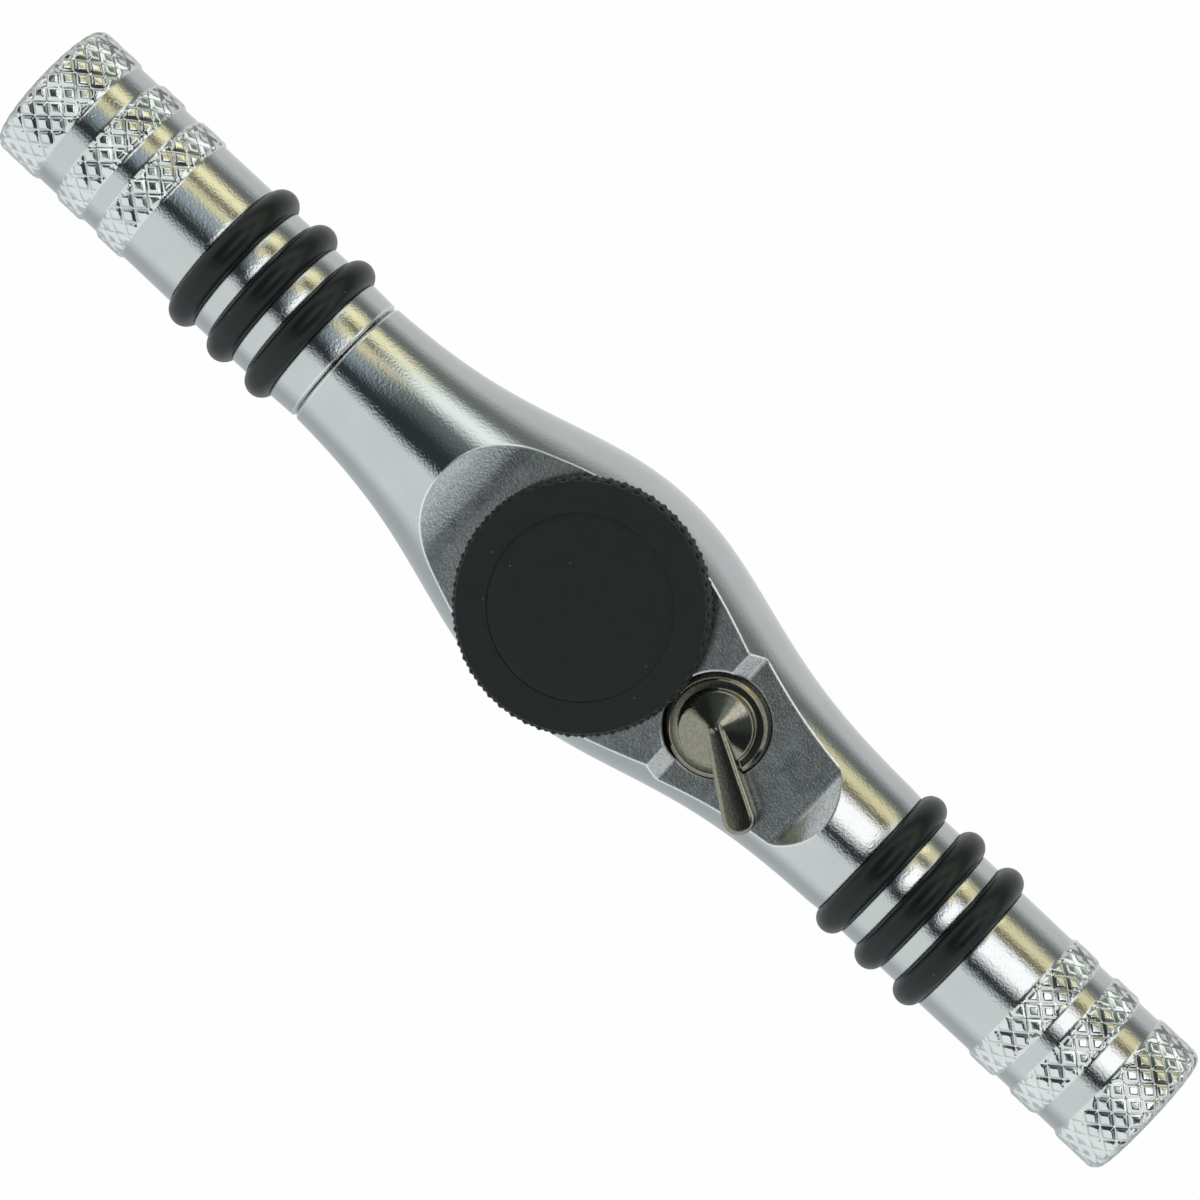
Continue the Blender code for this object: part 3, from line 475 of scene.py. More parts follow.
def black(name, colour, pale, dust, roughness, grain_size, grain_depth, speck_spacing, shine,
          edge=0.0):
    """Black rubber or moulded plastic: fine grain, uneven sheen and specks of dust."""
    material, tree, shader = new_material(name)
    shader.inputs["Specular IOR Level"].default_value = shine
    cloud = spread(tree, noise(tree, BLACK_CLOUD_SIZE, 3.0), 0.0, 1.0)
    base = mixed_colour(tree, cloud, colour, pale)
    dusty = mixed_colour(tree, specks(tree, speck_spacing, SPECK_SIZE), base, dust)
    tree.links.new(dusty, shader.inputs["Base Color"])
    sheen = spread(tree, noise(tree, SHEEN_SIZE, 3.0), *roughness)
    tree.links.new(sheen, shader.inputs["Roughness"])
    below = soft_edges(tree, edge) if edge > 0.0 else None
    grain = noise(tree, grain_size, 3.0)
    tree.links.new(bump(tree, grain, grain_depth, below), shader.inputs["Normal"])
    return material


def make_materials():
    return {
        "chrome": metal("chrome", (0.55, 0.56, 0.56), (0.51, 0.53, 0.53), (0.03, 0.09),
                        0.24 * MM, 0.017 * MM, edge=0.28 * MM),
        # Knurled chrome: rougher than the plain chrome, with a base colour raised above it that
        # paints light into the shade between its grooves
        "knurl": metal("knurled_chrome", (0.72, 0.73, 0.72), (0.63, 0.65, 0.65), (0.05, 0.14),
                       0.22 * MM, 0.010 * MM),
        "satin": metal("satin_chrome", (0.54, 0.56, 0.56), (0.34, 0.36, 0.36), (0.15, 0.24),
                       0.20 * MM, 0.011 * MM, edge=0.28 * MM, cloud_size=0.22 * MM),
        "black_nickel": metal("black_nickel", (0.29, 0.275, 0.225), (0.21, 0.20, 0.16),
                              (0.04, 0.10), 0.20 * MM, 0.006 * MM, edge=0.12 * MM,
                              cloud_size=0.3 * MM, highlight_colour=NICKEL_EDGE_HIGHLIGHT),
        "steel": metal("ground_steel", (0.50, 0.50, 0.51), (0.36, 0.35, 0.34), (0.22, 0.42),
                       0.10 * MM, 0.010 * MM, edge=0.06 * MM, stretch=(1.0, 1.0, 0.15)),
        "spring": metal("spring_steel", (0.42, 0.41, 0.40), (0.30, 0.28, 0.27), (0.20, 0.35),
                        0.15 * MM, 0.006 * MM),
        "magnet": metal("magnet_nickel", (0.60, 0.58, 0.54), (0.50, 0.48, 0.44), (0.14, 0.30),
                        0.20 * MM, 0.008 * MM, edge=0.08 * MM),
        "wheel": black("matt_black", (0.0026, 0.0078, 0.0072), (0.0048, 0.0102, 0.0096),
                       (0.055, 0.062, 0.060), (0.40, 0.52), 0.16 * MM, 0.010 * MM, 2.2 * MM,
                       0.40, edge=0.03 * MM),
        "rubber": black("black_rubber", (0.0025, 0.0062, 0.0058), (0.0045, 0.0085, 0.0080),
                        (0.060, 0.066, 0.064), (0.28, 0.38), 0.30 * MM, 0.005 * MM, 1.8 * MM,
                        0.32),
    }


# -------- mesh helpers

def new_object(name, verts, faces):
    mesh = bpy.data.meshes.new(name)
    mesh.from_pydata(verts, [], faces)
    mesh.update()
    obj = bpy.data.objects.new(name, mesh)
    bpy.context.scene.collection.objects.link(obj)
    return obj


def arc(centre, radius, start, end, steps=ARC_STEPS):
    """Points from one angle to another, both included."""
    points = []
    for step in range(steps + 1):
        angle = start + (end - start) * step / steps
        points.append((centre[0] + radius * math.cos(angle),
                       centre[1] + radius * math.sin(angle)))
    return points


def between(start, end, step):
    """Evenly spaced values from start to end, both included, about step apart."""
    count = max(1, round(abs(end - start) / step))
    return [start + (end - start) * index / count for index in range(count + 1)]


def revolved(name, profile, columns, axis="Z", relief=None, closed=False):
    """Surface of revolution from (along, radius) points with the material on their right.

    relief(along, radius, turn) gives how deep the surface is pressed in along its normal.
    """
    points = np.array(profile, float)
    along, radius = points[:, 0], points[:, 1]
    if closed:
        before, after = np.roll(points, 1, axis=0), np.roll(points, -1, axis=0)
    else:
        before = np.vstack((points[:1], points[:-1]))
        after = np.vstack((points[1:], points[-1:]))
    slope = after - before
    length = np.maximum(np.hypot(slope[:, 0], slope[:, 1]), NO_LENGTH)
    normal_along, normal_radius = -slope[:, 1] / length, slope[:, 0] / length
    turn = np.arange(columns) * math.tau / columns
    along_grid = np.repeat(along[:, None], columns, axis=1)
    radius_grid = np.repeat(radius[:, None], columns, axis=1)
    if relief is not None:
        depth = relief(along[:, None], radius[:, None], turn[None, :])
        along_grid = along_grid - depth * normal_along[:, None]
        radius_grid = radius_grid - depth * normal_radius[:, None]
    across = radius_grid * np.cos(turn)
    up = radius_grid * np.sin(turn)
    layers = (along_grid, across, up) if axis == "X" else (across, up, along_grid)
    grid = np.stack(layers, axis=-1)
    verts, starts = [], []
    for row in range(len(points)):
        starts.append(len(verts))
        on_axis = radius[row] < ON_AXIS
        verts += grid[row, :1].tolist() if on_axis else grid[row].tolist()
    faces = []
    rows = len(points)
    for row in range(rows if closed else rows - 1):
        here, there = starts[row], starts[(row + 1) % rows]
        narrow_here = radius[row] < ON_AXIS
        narrow_there = radius[(row + 1) % rows] < ON_AXIS
        for column in range(columns):
            after_column = (column + 1) % columns
            if narrow_here:
                faces.append((here, there + after_column, there + column))
            elif narrow_there:
                faces.append((here + column, here + after_column, there))
            else:
                faces.append((here + column, here + after_column,
                              there + after_column, there + column))
    return new_object(name, verts, faces)


def stacked(name, loops, paired=False):
    """Closed solid through loops of equal length, each a list of (x, y, z), bottom to top.

    Paired loops are symmetric about their first and middle points, and are capped by rungs.
    """
    count = len(loops[0])
    verts = [tuple(point) for loop in loops for point in loop]
    faces = []
    for level in range(len(loops) - 1):
        low, high = level * count, (level + 1) * count
        for index in range(count):
            after = (index + 1) % count
            faces.append((low + index, low + after, high + after, high + index))
    last = (len(loops) - 1) * count
    if paired:
        half = count // 2
        for step in range(half):
            near, far = step, step + 1
            near_twin, far_twin = (count - near) % count, count - far
            for base, flip in ((last, False), (0, True)):
                ring = [near, far, far_twin, near_twin]
                face = [base + item for item in dict.fromkeys(ring)]
                faces.append(tuple(reversed(face)) if flip else tuple(face))
    else:
        faces.append(tuple(range(last, last + count)))
        faces.append(tuple(reversed(range(count))))
    return new_object(name, verts, faces)


def prism(name, points, low, high):
    return stacked(name, [[(x, y, z) for x, y in points] for z in (low, high)])


def cylinder(name, radius, low, high, columns=ROUND_COLUMNS):
    return revolved(name, [(low, 0.0), (low, radius), (high, radius), (high, 0.0)], columns)


def hexagon(flats, turn=0.0):
    radius = flats / math.sqrt(3.0)
    return arc((0.0, 0.0), radius, turn, turn + math.tau * 5.0 / 6.0, 5)


def moved(obj, offset=(0.0, 0.0, 0.0), turn=0.0):
    """Turn about Z, then shift, in the mesh itself."""
    obj.data.transform(Matrix.Translation(Vector(offset)) @ Matrix.Rotation(turn, 4, "Z"))
    return obj


def combined(obj, tool, operation):
    """Boolean the tool into the object for good, and drop the tool."""
    modifier = obj.modifiers.new("combined", "BOOLEAN")
    modifier.operation = operation
    modifier.solver = "MANIFOLD"
    modifier.object = tool
    graph = bpy.context.evaluated_depsgraph_get()
    mesh = bpy.data.meshes.new_from_object(obj.evaluated_get(graph))
    obj.modifiers.clear()
    obj.data = mesh
    bpy.data.objects.remove(tool)
    return obj


def united(tools):
    whole = tools[0]
    for tool in tools[1:]:
        combined(whole, tool, "UNION")
    return whole


def finished(obj, body, node, slot, *materials, sharp=SHARP_ANGLE):
    """Shade a piece, give it its materials, tie it to its body and hide its frame node; the slot
    is not used.
    """
    mesh = obj.data
    mesh.materials.clear()
    for material in materials:
        mesh.materials.append(material)
    mesh.shade_smooth()
    mesh.set_sharp_from_angle(angle=sharp)
    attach(obj, body)
    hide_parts(node)
    return obj


def mark_faces(obj, test, slot):
    """Give the material in one slot to the faces whose centres pass the test."""
    mesh = obj.data
    count = len(mesh.polygons)
    centres = np.zeros(count * 3)
    index = np.zeros(count, np.int32)
    mesh.polygons.foreach_get("center", centres)
    mesh.polygons.foreach_get("material_index", index)
    index[test(centres.reshape(-1, 3))] = slot
    mesh.polygons.foreach_set("material_index", index)
    mesh.update()


# -------- handle and cap

def head_radius(x):
    """Radius of the turned head at a distance along the handle."""
    base = np.where(x > 0.0, ARM_RADIUS, SOCKET_NECK_RADIUS)
    return base + (HEAD_RADIUS - base) * np.exp(-((np.abs(x) / HEAD_SPREAD) ** HEAD_POWER))


def smooth_step(value):
    value = np.clip(value, 0.0, 1.0)
    return value * value * (3.0 - 2.0 * value)


def band_radius(x):
    """Radius of the bands' soft humps between their necks."""
    lift = 0.0
    for start, end in BAND_SPANS:
        rise = smooth_step((x - start) / BAND_EDGE)
        fall = smooth_step((end - x) / BAND_EDGE)
        lift = max(lift, float(rise * fall))
    return BAND_NECK_RADIUS + (BAND_RADIUS - BAND_NECK_RADIUS) * lift


def groove_profile(middle):
    """One grip ring groove with rounded rims."""
    left, right = middle - GROOVE_HALF_WIDTH, middle + GROOVE_HALF_WIDTH
    rim = ARM_RADIUS - GROOVE_CORNER
    rise = arc((left - GROOVE_CORNER, rim), GROOVE_CORNER, math.pi / 2.0, 0.0, 4)
    fall = arc((right + GROOVE_CORNER, rim), GROOVE_CORNER, math.pi, math.pi / 2.0, 4)
    return rise + [(left, GROOVE_ROOT), (right, GROOVE_ROOT)] + fall


def arm_profile(arm):
    """An arm from its first groove to its end face, as (distance, radius) points."""
    points = []
    for label in RING_LABELS:
        low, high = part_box(f"{arm}_grip_ring_{label}")
        points += groove_profile(abs(low.x + high.x) / 2.0)
    plain = between(points[-1][0], BAND_ZONE_START, PLAIN_ROW)[1:]
    points += [(x, ARM_RADIUS + (BAND_NECK_RADIUS - ARM_RADIUS) * (index + 1) / len(plain))
               for index, x in enumerate(plain)]
    zone = between(BAND_ZONE_START, HALF_LENGTH - END_FILLET, KNURL_ROW)[1:-1]
    points += [(x, band_radius(x)) for x in zone]
    corner = (HALF_LENGTH - END_FILLET, BAND_RADIUS - END_FILLET)
    points += arc(corner, END_FILLET, math.pi / 2.0, 0.0, 20)
    face = between(corner[1], 0.0, FACE_ROW)[1:]
    return points + [(HALF_LENGTH, radius) for radius in face]


def knurl_depth(along, turn, starts, period, groove, depth, radius, origin):
    """Depth of crossed helical V grooves at points on a knurled surface."""
    around = turn * starts / math.tau
    shift = (along - origin) / period
    spacing = 1.0 / math.hypot(starts / (math.tau * radius), 1.0 / period)
    one, other = around + shift, around - shift
    nearest = np.minimum(np.abs(one - np.round(one)), np.abs(other - np.round(other)))
    share = np.clip(1.0 - nearest * spacing / groove, 0.0, 1.0)
    return depth * share


def arm_relief(along, radius, turn):
    """Knurled bands on the arm, and the cap thread inside or outside the joint."""
    reach = np.abs(along)
    cut = knurl_depth(reach, turn, KNURL_STARTS, KNURL_PERIOD, KNURL_GROOVE, KNURL_DEPTH,
                      BAND_RADIUS, BAND_ZONE_START)
    on_fillet = reach > HALF_LENGTH - END_FILLET
    sunk = np.where(on_fillet, 0.0, BAND_RADIUS - radius)
    face_edge = BAND_RADIUS - END_FILLET
    fade = np.where(on_fillet, smooth_step((radius - face_edge) / KNURL_FADE), 1.0)
    knurled = (reach > BAND_ZONE_START) & (radius > face_edge - CLOSE)
    band = np.where(knurled, np.clip(cut - sunk, 0.0, None) * fade, 0.0)
    outside = np.isclose(radius, THREAD_SPIGOT_RADIUS, atol=TINY)
    inside = np.isclose(radius, THREAD_SOCKET_RADIUS, atol=TINY)
    wave = math.tau * along / THREAD_PITCH - turn
    spigot_thread = np.where(outside, THREAD_DEPTH * (0.5 - 0.5 * np.cos(wave)), 0.0)
    socket_thread = np.where(inside, THREAD_DEPTH * (0.5 + 0.5 * np.cos(wave)), 0.0)
    return band + spigot_thread + socket_thread


def handle_profile():
    mouth = float(head_radius(np.array(-JOINT_X)))
    thread = between(-THREAD_SOCKET_END - THREAD_ROW, -JOINT_X + JOINT_CHAMFER, THREAD_ROW)
    points = [(-THREAD_SOCKET_END, 0.0), (-THREAD_SOCKET_END, THREAD_SOCKET_RADIUS - CORNER)]
    points += [(x, THREAD_SOCKET_RADIUS) for x in thread]
    points += [(-JOINT_X, THREAD_SOCKET_RADIUS + 2.0 * JOINT_CHAMFER),
               (-JOINT_X, mouth - JOINT_CHAMFER)]
    points += [(x, float(head_radius(np.array(x))))
               for x in between(-JOINT_X + JOINT_CHAMFER, HEAD_END, HEAD_ROW)]
    return points + arm_profile("arm")


def softened(corners, start, end, softness_start, softness_end):
    """The polyline through corners from start to end, its bends rounded more and more."""
    line = tuple(zip(*corners))
    points = []
    for x in between(start, end, SOFT_ROW):
        part = (x - start) / (end - start)
        reach = softness_start + (softness_end - softness_start) * part
        nearby = np.linspace(x - reach, x + reach, SOFT_SAMPLES)
        points.append((x, float(np.interp(nearby, *line).mean())))
    return points


def flats_cutter():
    """Metal milled off the top: wheel flat, step and lever flat, running out at both ends."""
    lift = HEAD_RADIUS + OVERSHOOT
    near = arc((-NEAR_RUNOUT_START, WHEEL_FLAT_Z + NEAR_RUNOUT), NEAR_RUNOUT,
               math.pi * 1.5 - NEAR_RUNOUT_SWEEP, math.pi * 1.5)
    step_top, step_foot = (STEP_TOP_X, WHEEL_FLAT_Z), (STEP_FOOT_X, LEVER_FLAT_Z)
    far_foot = (LEVER_FLAT_END, LEVER_FLAT_Z)
    far_top = (LEVER_FLAT_END + (lift - LEVER_FLAT_Z) / FAR_RUNOUT_SLOPE, lift)
    corners = (near[-1], step_top, step_foot, far_foot, far_top)
    soft = FAR_RUNOUT_SOFTNESS
    profile = [(near[0][0], lift)] + near
    profile += softened(corners, STEP_TOP_X - STEP_LEAD, STEP_FOOT_X + 2.0 * STEP_SOFTNESS,
                        STEP_TOP_SOFTNESS, STEP_SOFTNESS)
    profile += softened(corners, far_foot[0] - 2.0 * soft, far_foot[0] + 2.0 * soft, soft, soft)
    return across_handle("flats_cutter", profile + [far_top])


def underside_cutter():
    drop = -HEAD_RADIUS - OVERSHOOT
    near = arc((-UNDERSIDE_START, UNDERSIDE_Z - UNDERSIDE_RUNOUT), UNDERSIDE_RUNOUT,
               math.pi, math.pi / 2.0)
    far = arc((UNDERSIDE_END, UNDERSIDE_Z - UNDERSIDE_RUNOUT), UNDERSIDE_RUNOUT,
              math.pi / 2.0, 0.0)
    profile = [(near[0][0], drop)] + near + far + [(far[-1][0], drop)]
    return across_handle("underside_cutter", list(reversed(profile)))


def across_handle(name, profile):
    """A side-view outline, counterclockwise as seen from -Y, extruded across the handle."""
    reach = HEAD_RADIUS + OVERSHOOT
    return stacked(name, [[(x, y, z) for x, z in profile] for y in (reach, -reach)])


def pear(grow):
    """Outline round the cover plate's two circles, grown by a gap."""
    big = PLATE_BIG_RADIUS + grow
    small = PLATE_SMALL_RADIUS + grow
    lean = math.acos((big - small) / (PLATE_SMALL_X - PLATE_BIG_X))
    left = arc((PLATE_BIG_X, 0.0), big, lean, math.tau - lean, 3 * ARC_STEPS)
    right = arc((PLATE_SMALL_X, 0.0), small, -lean, lean)
    return left + right


def chamber_outline():
    mouth = math.asin(POCKET_HALF_WIDTH / CHAMBER_RADIUS)
    gear_side = arc((0.0, 0.0), CHAMBER_RADIUS, mouth, math.tau - mouth, 2 * ARC_STEPS)
    lever_side = arc((LEVER_X, 0.0), LEVER_POCKET_RADIUS, -math.pi / 2.0, math.pi / 2.0)
    return (gear_side + [(POCKET_END, -POCKET_HALF_WIDTH)] + lever_side
            + [(POCKET_END, POCKET_HALF_WIDTH)])


def upright_place(node):
    """Where the axis of an upright piece stands."""
    low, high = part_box(node)
    return ((low.x + high.x) / 2.0, (low.y + high.y) / 2.0, 0.0)


def lever_seat_cutter():
    """Counterbore for the lever's disc and its shaft bore, with both rims broken."""
    above = WHEEL_FLAT_Z + OVERSHOOT
    low_rim, high_rim = LEVER_FLAT_Z, WHEEL_FLAT_Z
    seat = [(0.0, 0.0), (0.0, LEVER_BORE_RADIUS), (LEVER_SEAT_Z, LEVER_BORE_RADIUS),
            (LEVER_SEAT_Z, LEVER_SEAT_RADIUS),
            (low_rim - SEAT_CHAMFER, LEVER_SEAT_RADIUS),
            (low_rim, LEVER_SEAT_RADIUS + SEAT_CHAMFER),
            (high_rim - SEAT_CHAMFER, LEVER_SEAT_RADIUS + SEAT_CHAMFER),
            (high_rim, LEVER_SEAT_RADIUS + 2.0 * SEAT_CHAMFER),
            (above, LEVER_SEAT_RADIUS + 2.0 * SEAT_CHAMFER), (above, 0.0)]
    return moved(revolved("lever_seat_cutter", seat, ROUND_COLUMNS), (LEVER_X, 0.0, 0.0))


def on_cut_face(centres):
    """True where a face lies off the turned surface of the handle's outside."""
    radius = np.hypot(centres[:, 1], centres[:, 2])
    in_head = (centres[:, 0] > -JOINT_X + JOINT_CHAMFER) & (centres[:, 0] < HEAD_END)
    return in_head & (radius < head_radius(centres[:, 0]) - FACE_TOLERANCE)


def on_knurl(centres):
    """True where a face lies on a knurled band, where the plating is duller and painted lighter
    to put light into its grooves.
    """
    radius = np.hypot(centres[:, 1], centres[:, 2])
    beyond = np.abs(centres[:, 0]) > BAND_SPANS[0][0]
    return beyond & (radius > BAND_NECK_RADIUS + FACE_TOLERANCE)


def build_handle(materials):
    body = revolved("handle_bar", handle_profile(), ARM_COLUMNS, "X", arm_relief)
    below = UNDERSIDE_Z - OVERSHOOT
    above = WHEEL_FLAT_Z + OVERSHOOT
    tools = [prism("chamber_cutter", chamber_outline(), below, CHAMBER_ROOF),
             prism("plate_seat_cutter", pear(PLATE_GAP), below, PLATE_SEAT),
             underside_cutter(),
             cylinder("journal_cutter", JOURNAL_BORE_RADIUS, 0.0, above),
             flats_cutter(),
             lever_seat_cutter()]
    pin_hole = cylinder("pin_cutter", PIN_HOLE_RADIUS, 0.0, PIN_HOLE_ROOF, SMALL_COLUMNS)
    tools.append(moved(pin_hole, upright_place("pawl_pin")))
    for node in COVER_SCREWS:
        hole = cylinder("screw_cutter", SCREW_HOLE_RADIUS, below, SCREW_HOLE_END, SMALL_COLUMNS)
        tools.append(moved(hole, upright_place(node)))
    combined(body, united(tools), "DIFFERENCE")
    finished(body, "handle", "handle_body", "chrome", materials["chrome"], materials["satin"],
             materials["knurl"])
    mark_faces(body, on_cut_face, 1)
    mark_faces(body, on_knurl, 2)


def build_cap(materials):
    """Hollow arm from the bottom of its store round to its end face."""
    shoulder = -JOINT_X - JOINT_GAP
    neck = float(head_radius(np.array(-JOINT_X)))
    spigot_end = -THREAD_SPIGOT_END
    bore = [(-STORE_END, 0.0), (-STORE_END, STORE_RADIUS - CORNER),
            (-STORE_END + CORNER, STORE_RADIUS), (spigot_end - CORNER, STORE_RADIUS),
            (spigot_end, STORE_RADIUS + CORNER),
            (spigot_end, THREAD_SPIGOT_RADIUS - JOINT_CHAMFER)]
    thread = [(x, THREAD_SPIGOT_RADIUS)
              for x in between(spigot_end - JOINT_CHAMFER, shoulder + JOINT_CHAMFER, THREAD_ROW)]
    rim = [(shoulder, THREAD_SPIGOT_RADIUS + CORNER), (shoulder, neck - JOINT_CHAMFER),
           (shoulder - JOINT_CHAMFER, neck)]
    outside = [(-x, radius) for x, radius in arm_profile("cap")]
    profile = list(reversed(bore + thread + rim + outside))
    cap = revolved("cap_arm", profile, ARM_COLUMNS, "X", arm_relief)
    finished(cap, "cap", "storage_cap", "chrome", materials["chrome"], materials["knurl"])
    mark_faces(cap, on_knurl, 1)


def build_rings(materials):
    for arm, body in (("arm", "handle"), ("cap", "cap_rings")):
        for label in RING_LABELS:
            node = f"{arm}_grip_ring_{label}"
            low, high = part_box(node)
            middle = (low.x + high.x) / 2.0
            centre = high.z - RING_WIRE
            turn = math.tau / RING_SECTION
            section = [(middle - RING_WIRE * math.cos(turn * step),
                        centre + RING_WIRE * math.sin(turn * step))
                       for step in range(RING_SECTION)]
            ring = revolved(f"{arm}_ring_{label}", section, RING_COLUMNS, "X", closed=True)
            finished(ring, body, node, "black_rubber", materials["rubber"])


# -------- thumb wheel

def wheel_relief(along, radius, turn):
    """Diamond knurl on the wheel's rim, with both families of grooves meeting at its top."""
    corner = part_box("thumb_wheel")[1]
    cut = knurl_depth(along, turn, WHEEL_STARTS, WHEEL_PERIOD, WHEEL_GROOVE, WHEEL_DEPTH,
                      corner.x, corner.z)
    inside, width = WHEEL_FADE
    return cut * smooth_step((radius - (corner.x - WHEEL_EDGE - inside)) / width)


def build_wheel(materials):
    low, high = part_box("thumb_wheel")
    outer = high.x
    room_inner, room_outer, room_top = WASHER_ROOM
    rim_low = arc((low.z + WHEEL_EDGE, outer - WHEEL_EDGE), WHEEL_EDGE, math.pi, math.pi / 2.0, 8)
    rim_high = arc((high.z - WHEEL_EDGE, outer - WHEEL_EDGE), WHEEL_EDGE, math.pi / 2.0, 0.0, 8)
    rim = [(z, outer) for z in between(low.z + WHEEL_EDGE, high.z - WHEEL_EDGE, WHEEL_ROW)[1:-1]]
    profile = [(low.z, 0.0), (low.z, room_inner), (room_top, room_inner), (room_top, room_outer),
               (low.z, room_outer)]
    profile += rim_low + rim + rim_high
    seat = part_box("wheel_insert")[1].x + INSERT_GAP
    profile += [(high.z, outer - WHEEL_EDGE - row) for row in WHEEL_TOP_ROWS]
    profile += [(high.z, seat), (INSERT_SEAT_Z, seat), (INSERT_SEAT_Z, HUB_WELL_RADIUS),
                (HUB_WELL_FLOOR, HUB_WELL_RADIUS), (HUB_WELL_FLOOR, 0.0)]
    wheel = revolved("wheel_disc", profile, WHEEL_COLUMNS, relief=wheel_relief)
    hub = prism("hub_cutter", hexagon(NECK_FLATS + HUB_PLAY), 0.0, high.z + OVERSHOOT)
    combined(wheel, hub, "DIFFERENCE")
    finished(wheel, "drive", "thumb_wheel", "black_wheel", materials["wheel"])
    low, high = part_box("wheel_insert")
    edge = INSERT_EDGE
    disc = [(low.z, 0.0), (low.z, high.x), (high.z - edge, high.x)]
    disc += arc((high.z - edge, high.x - edge), edge, math.pi / 2.0, 0.0, 4)[1:]
    disc += [(high.z, radius) for radius in between(high.x - edge, 0.0, FACE_ROW)[1:]]
    insert = revolved("wheel_cap_disc", disc, 2 * ROUND_COLUMNS)
    finished(insert, "drive", "wheel_insert", "black_wheel", materials["wheel"])


# -------- spindle, cover and screws

def gear_outline():
    pitch = math.tau / TOOTH_COUNT
    land = GEAR_LAND * pitch
    points = []
    for index in range(TOOTH_COUNT):
        crest = index * pitch
        root = crest + pitch / 2.0
        for radius, angle in ((GEAR_TIP, crest - land), (GEAR_TIP, crest + land),
                              (GEAR_ROOT, root - land), (GEAR_ROOT, root + land)):
            points.append((radius * math.cos(angle), radius * math.sin(angle)))
    return points


def build_spindle(materials):
    low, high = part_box("ratchet_spindle")
    gear_low, gear_high = GEAR_SPAN
    edge = SPINDLE_EDGE
    core = GEAR_ROOT - edge
    profile = [(low.z, 0.0), (low.z, COLLAR_RADIUS - COLLAR_CHAMFER),
               (low.z + COLLAR_CHAMFER, COLLAR_RADIUS), (gear_low + edge, COLLAR_RADIUS),
               (gear_low + edge, core), (gear_high - edge, core),
               (gear_high - edge, JOURNAL_RADIUS), (JOURNAL_TOP - edge, JOURNAL_RADIUS),
               (JOURNAL_TOP, JOURNAL_RADIUS - edge), (JOURNAL_TOP, 0.0)]
    spindle = revolved("drive_spindle", profile, ROUND_COLUMNS)
    combined(spindle, prism("teeth", gear_outline(), gear_low, gear_high), "UNION")
    combined(spindle, prism("neck", hexagon(NECK_FLATS), gear_high, high.z), "UNION")
    socket = prism("socket_cutter", hexagon(BIT_FLATS), low.z - OVERSHOOT, BIT_SOCKET_ROOF)
    mouth = BIT_FLATS / math.sqrt(3.0) + BIT_MOUTH_GROWTH
    lead = [(low.z - OVERSHOOT, 0.0), (low.z - OVERSHOOT, mouth + OVERSHOOT), (low.z, mouth),
            (low.z + BIT_LEAD_IN, mouth - BIT_LEAD_IN), (low.z + BIT_LEAD_IN, 0.0)]
    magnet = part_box("bit_magnet")[1].z
    screw_hole = cylinder("hole_cutter", SCREW_WELL_RADIUS, SCREW_WELL_FLOOR, high.z + OVERSHOOT,
                          SMALL_COLUMNS)
    tools = [socket, revolved("lead_cutter", lead, ROUND_COLUMNS),
             cylinder("magnet_cutter", MAGNET_HOLE_RADIUS, BIT_SOCKET_ROOF - MAGNET_HOLE_SINK,
                      magnet + MAGNET_GAP)]
    combined(spindle, united(tools), "DIFFERENCE")
    combined(spindle, screw_hole, "DIFFERENCE")
    finished(spindle, "drive", "ratchet_spindle", "ground_steel", materials["steel"])


def build_cover(materials):
    low, high = UNDERSIDE_Z, PLATE_TOP
    levels = ((-PLATE_EDGE, low), (0.0, low + PLATE_EDGE), (0.0, high))
    plate = stacked("cover_sheet", [[(x, y, z) for x, y in pear(grow)] for grow, z in levels])
    below = low - OVERSHOOT
    edge = PLATE_EDGE
    hole = [(below, 0.0), (below, COLLAR_HOLE_RADIUS + edge), (low, COLLAR_HOLE_RADIUS + edge),
            (low + edge, COLLAR_HOLE_RADIUS), (0.0, COLLAR_HOLE_RADIUS), (0.0, 0.0)]
    tools = [revolved("collar_cutter", hole, ROUND_COLUMNS)]
    head = SCREW_HEAD + SCREW_SINK_GAP
    head_top = low + SCREW_HEAD_DEPTH + SCREW_SINK_GAP
    for node in COVER_SCREWS:
        sink = [(below, 0.0), (below, head + edge), (low, head + edge), (low + edge, head),
                (head_top, head), (head_top, SCREW_HOLE_RADIUS), (0.0, SCREW_HOLE_RADIUS),
                (0.0, 0.0)]
        tools.append(moved(revolved("sink_cutter", sink, SMALL_COLUMNS), upright_place(node)))
    for tool in tools:
        combined(plate, tool, "DIFFERENCE")
    finished(plate, "handle", "cover_plate", "chrome", materials["satin"])


def build_cover_screws(materials):
    for number, node in enumerate(COVER_SCREWS):
        low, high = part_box(node)
        head_top = low.z + SCREW_HEAD_DEPTH
        edge = SCREW_EDGE
        profile = [(low.z, 0.0), (low.z, SCREW_HEAD - edge)]
        profile += arc((low.z + edge, SCREW_HEAD - edge), edge, math.pi, math.pi / 2.0, 4)[1:]
        profile += [(head_top, SCREW_HEAD), (head_top, SCREW_SHANK), (high.z - edge, SCREW_SHANK),
                    (high.z, SCREW_SHANK - edge), (high.z, 0.0)]
        screw = revolved(f"cover_bolt_{number + 1}", profile, SMALL_COLUMNS)
        recess = prism("recess_cutter", hexagon(SCREW_RECESS_FLATS, SCREW_RECESS_TURN * number),
                       low.z - OVERSHOOT, low.z + SCREW_RECESS_DEPTH)
        combined(screw, recess, "DIFFERENCE")
        moved(screw, upright_place(node))
        finished(screw, "handle", node, "ground_steel", materials["steel"])


# -------- reversing lever

def dome_height(radius):
    """Height of the lever's blunt cone at a distance from its axis."""
    return DOME_TOP + DOME_BLUNT - math.hypot(radius * DOME_SLOPE, DOME_BLUNT)


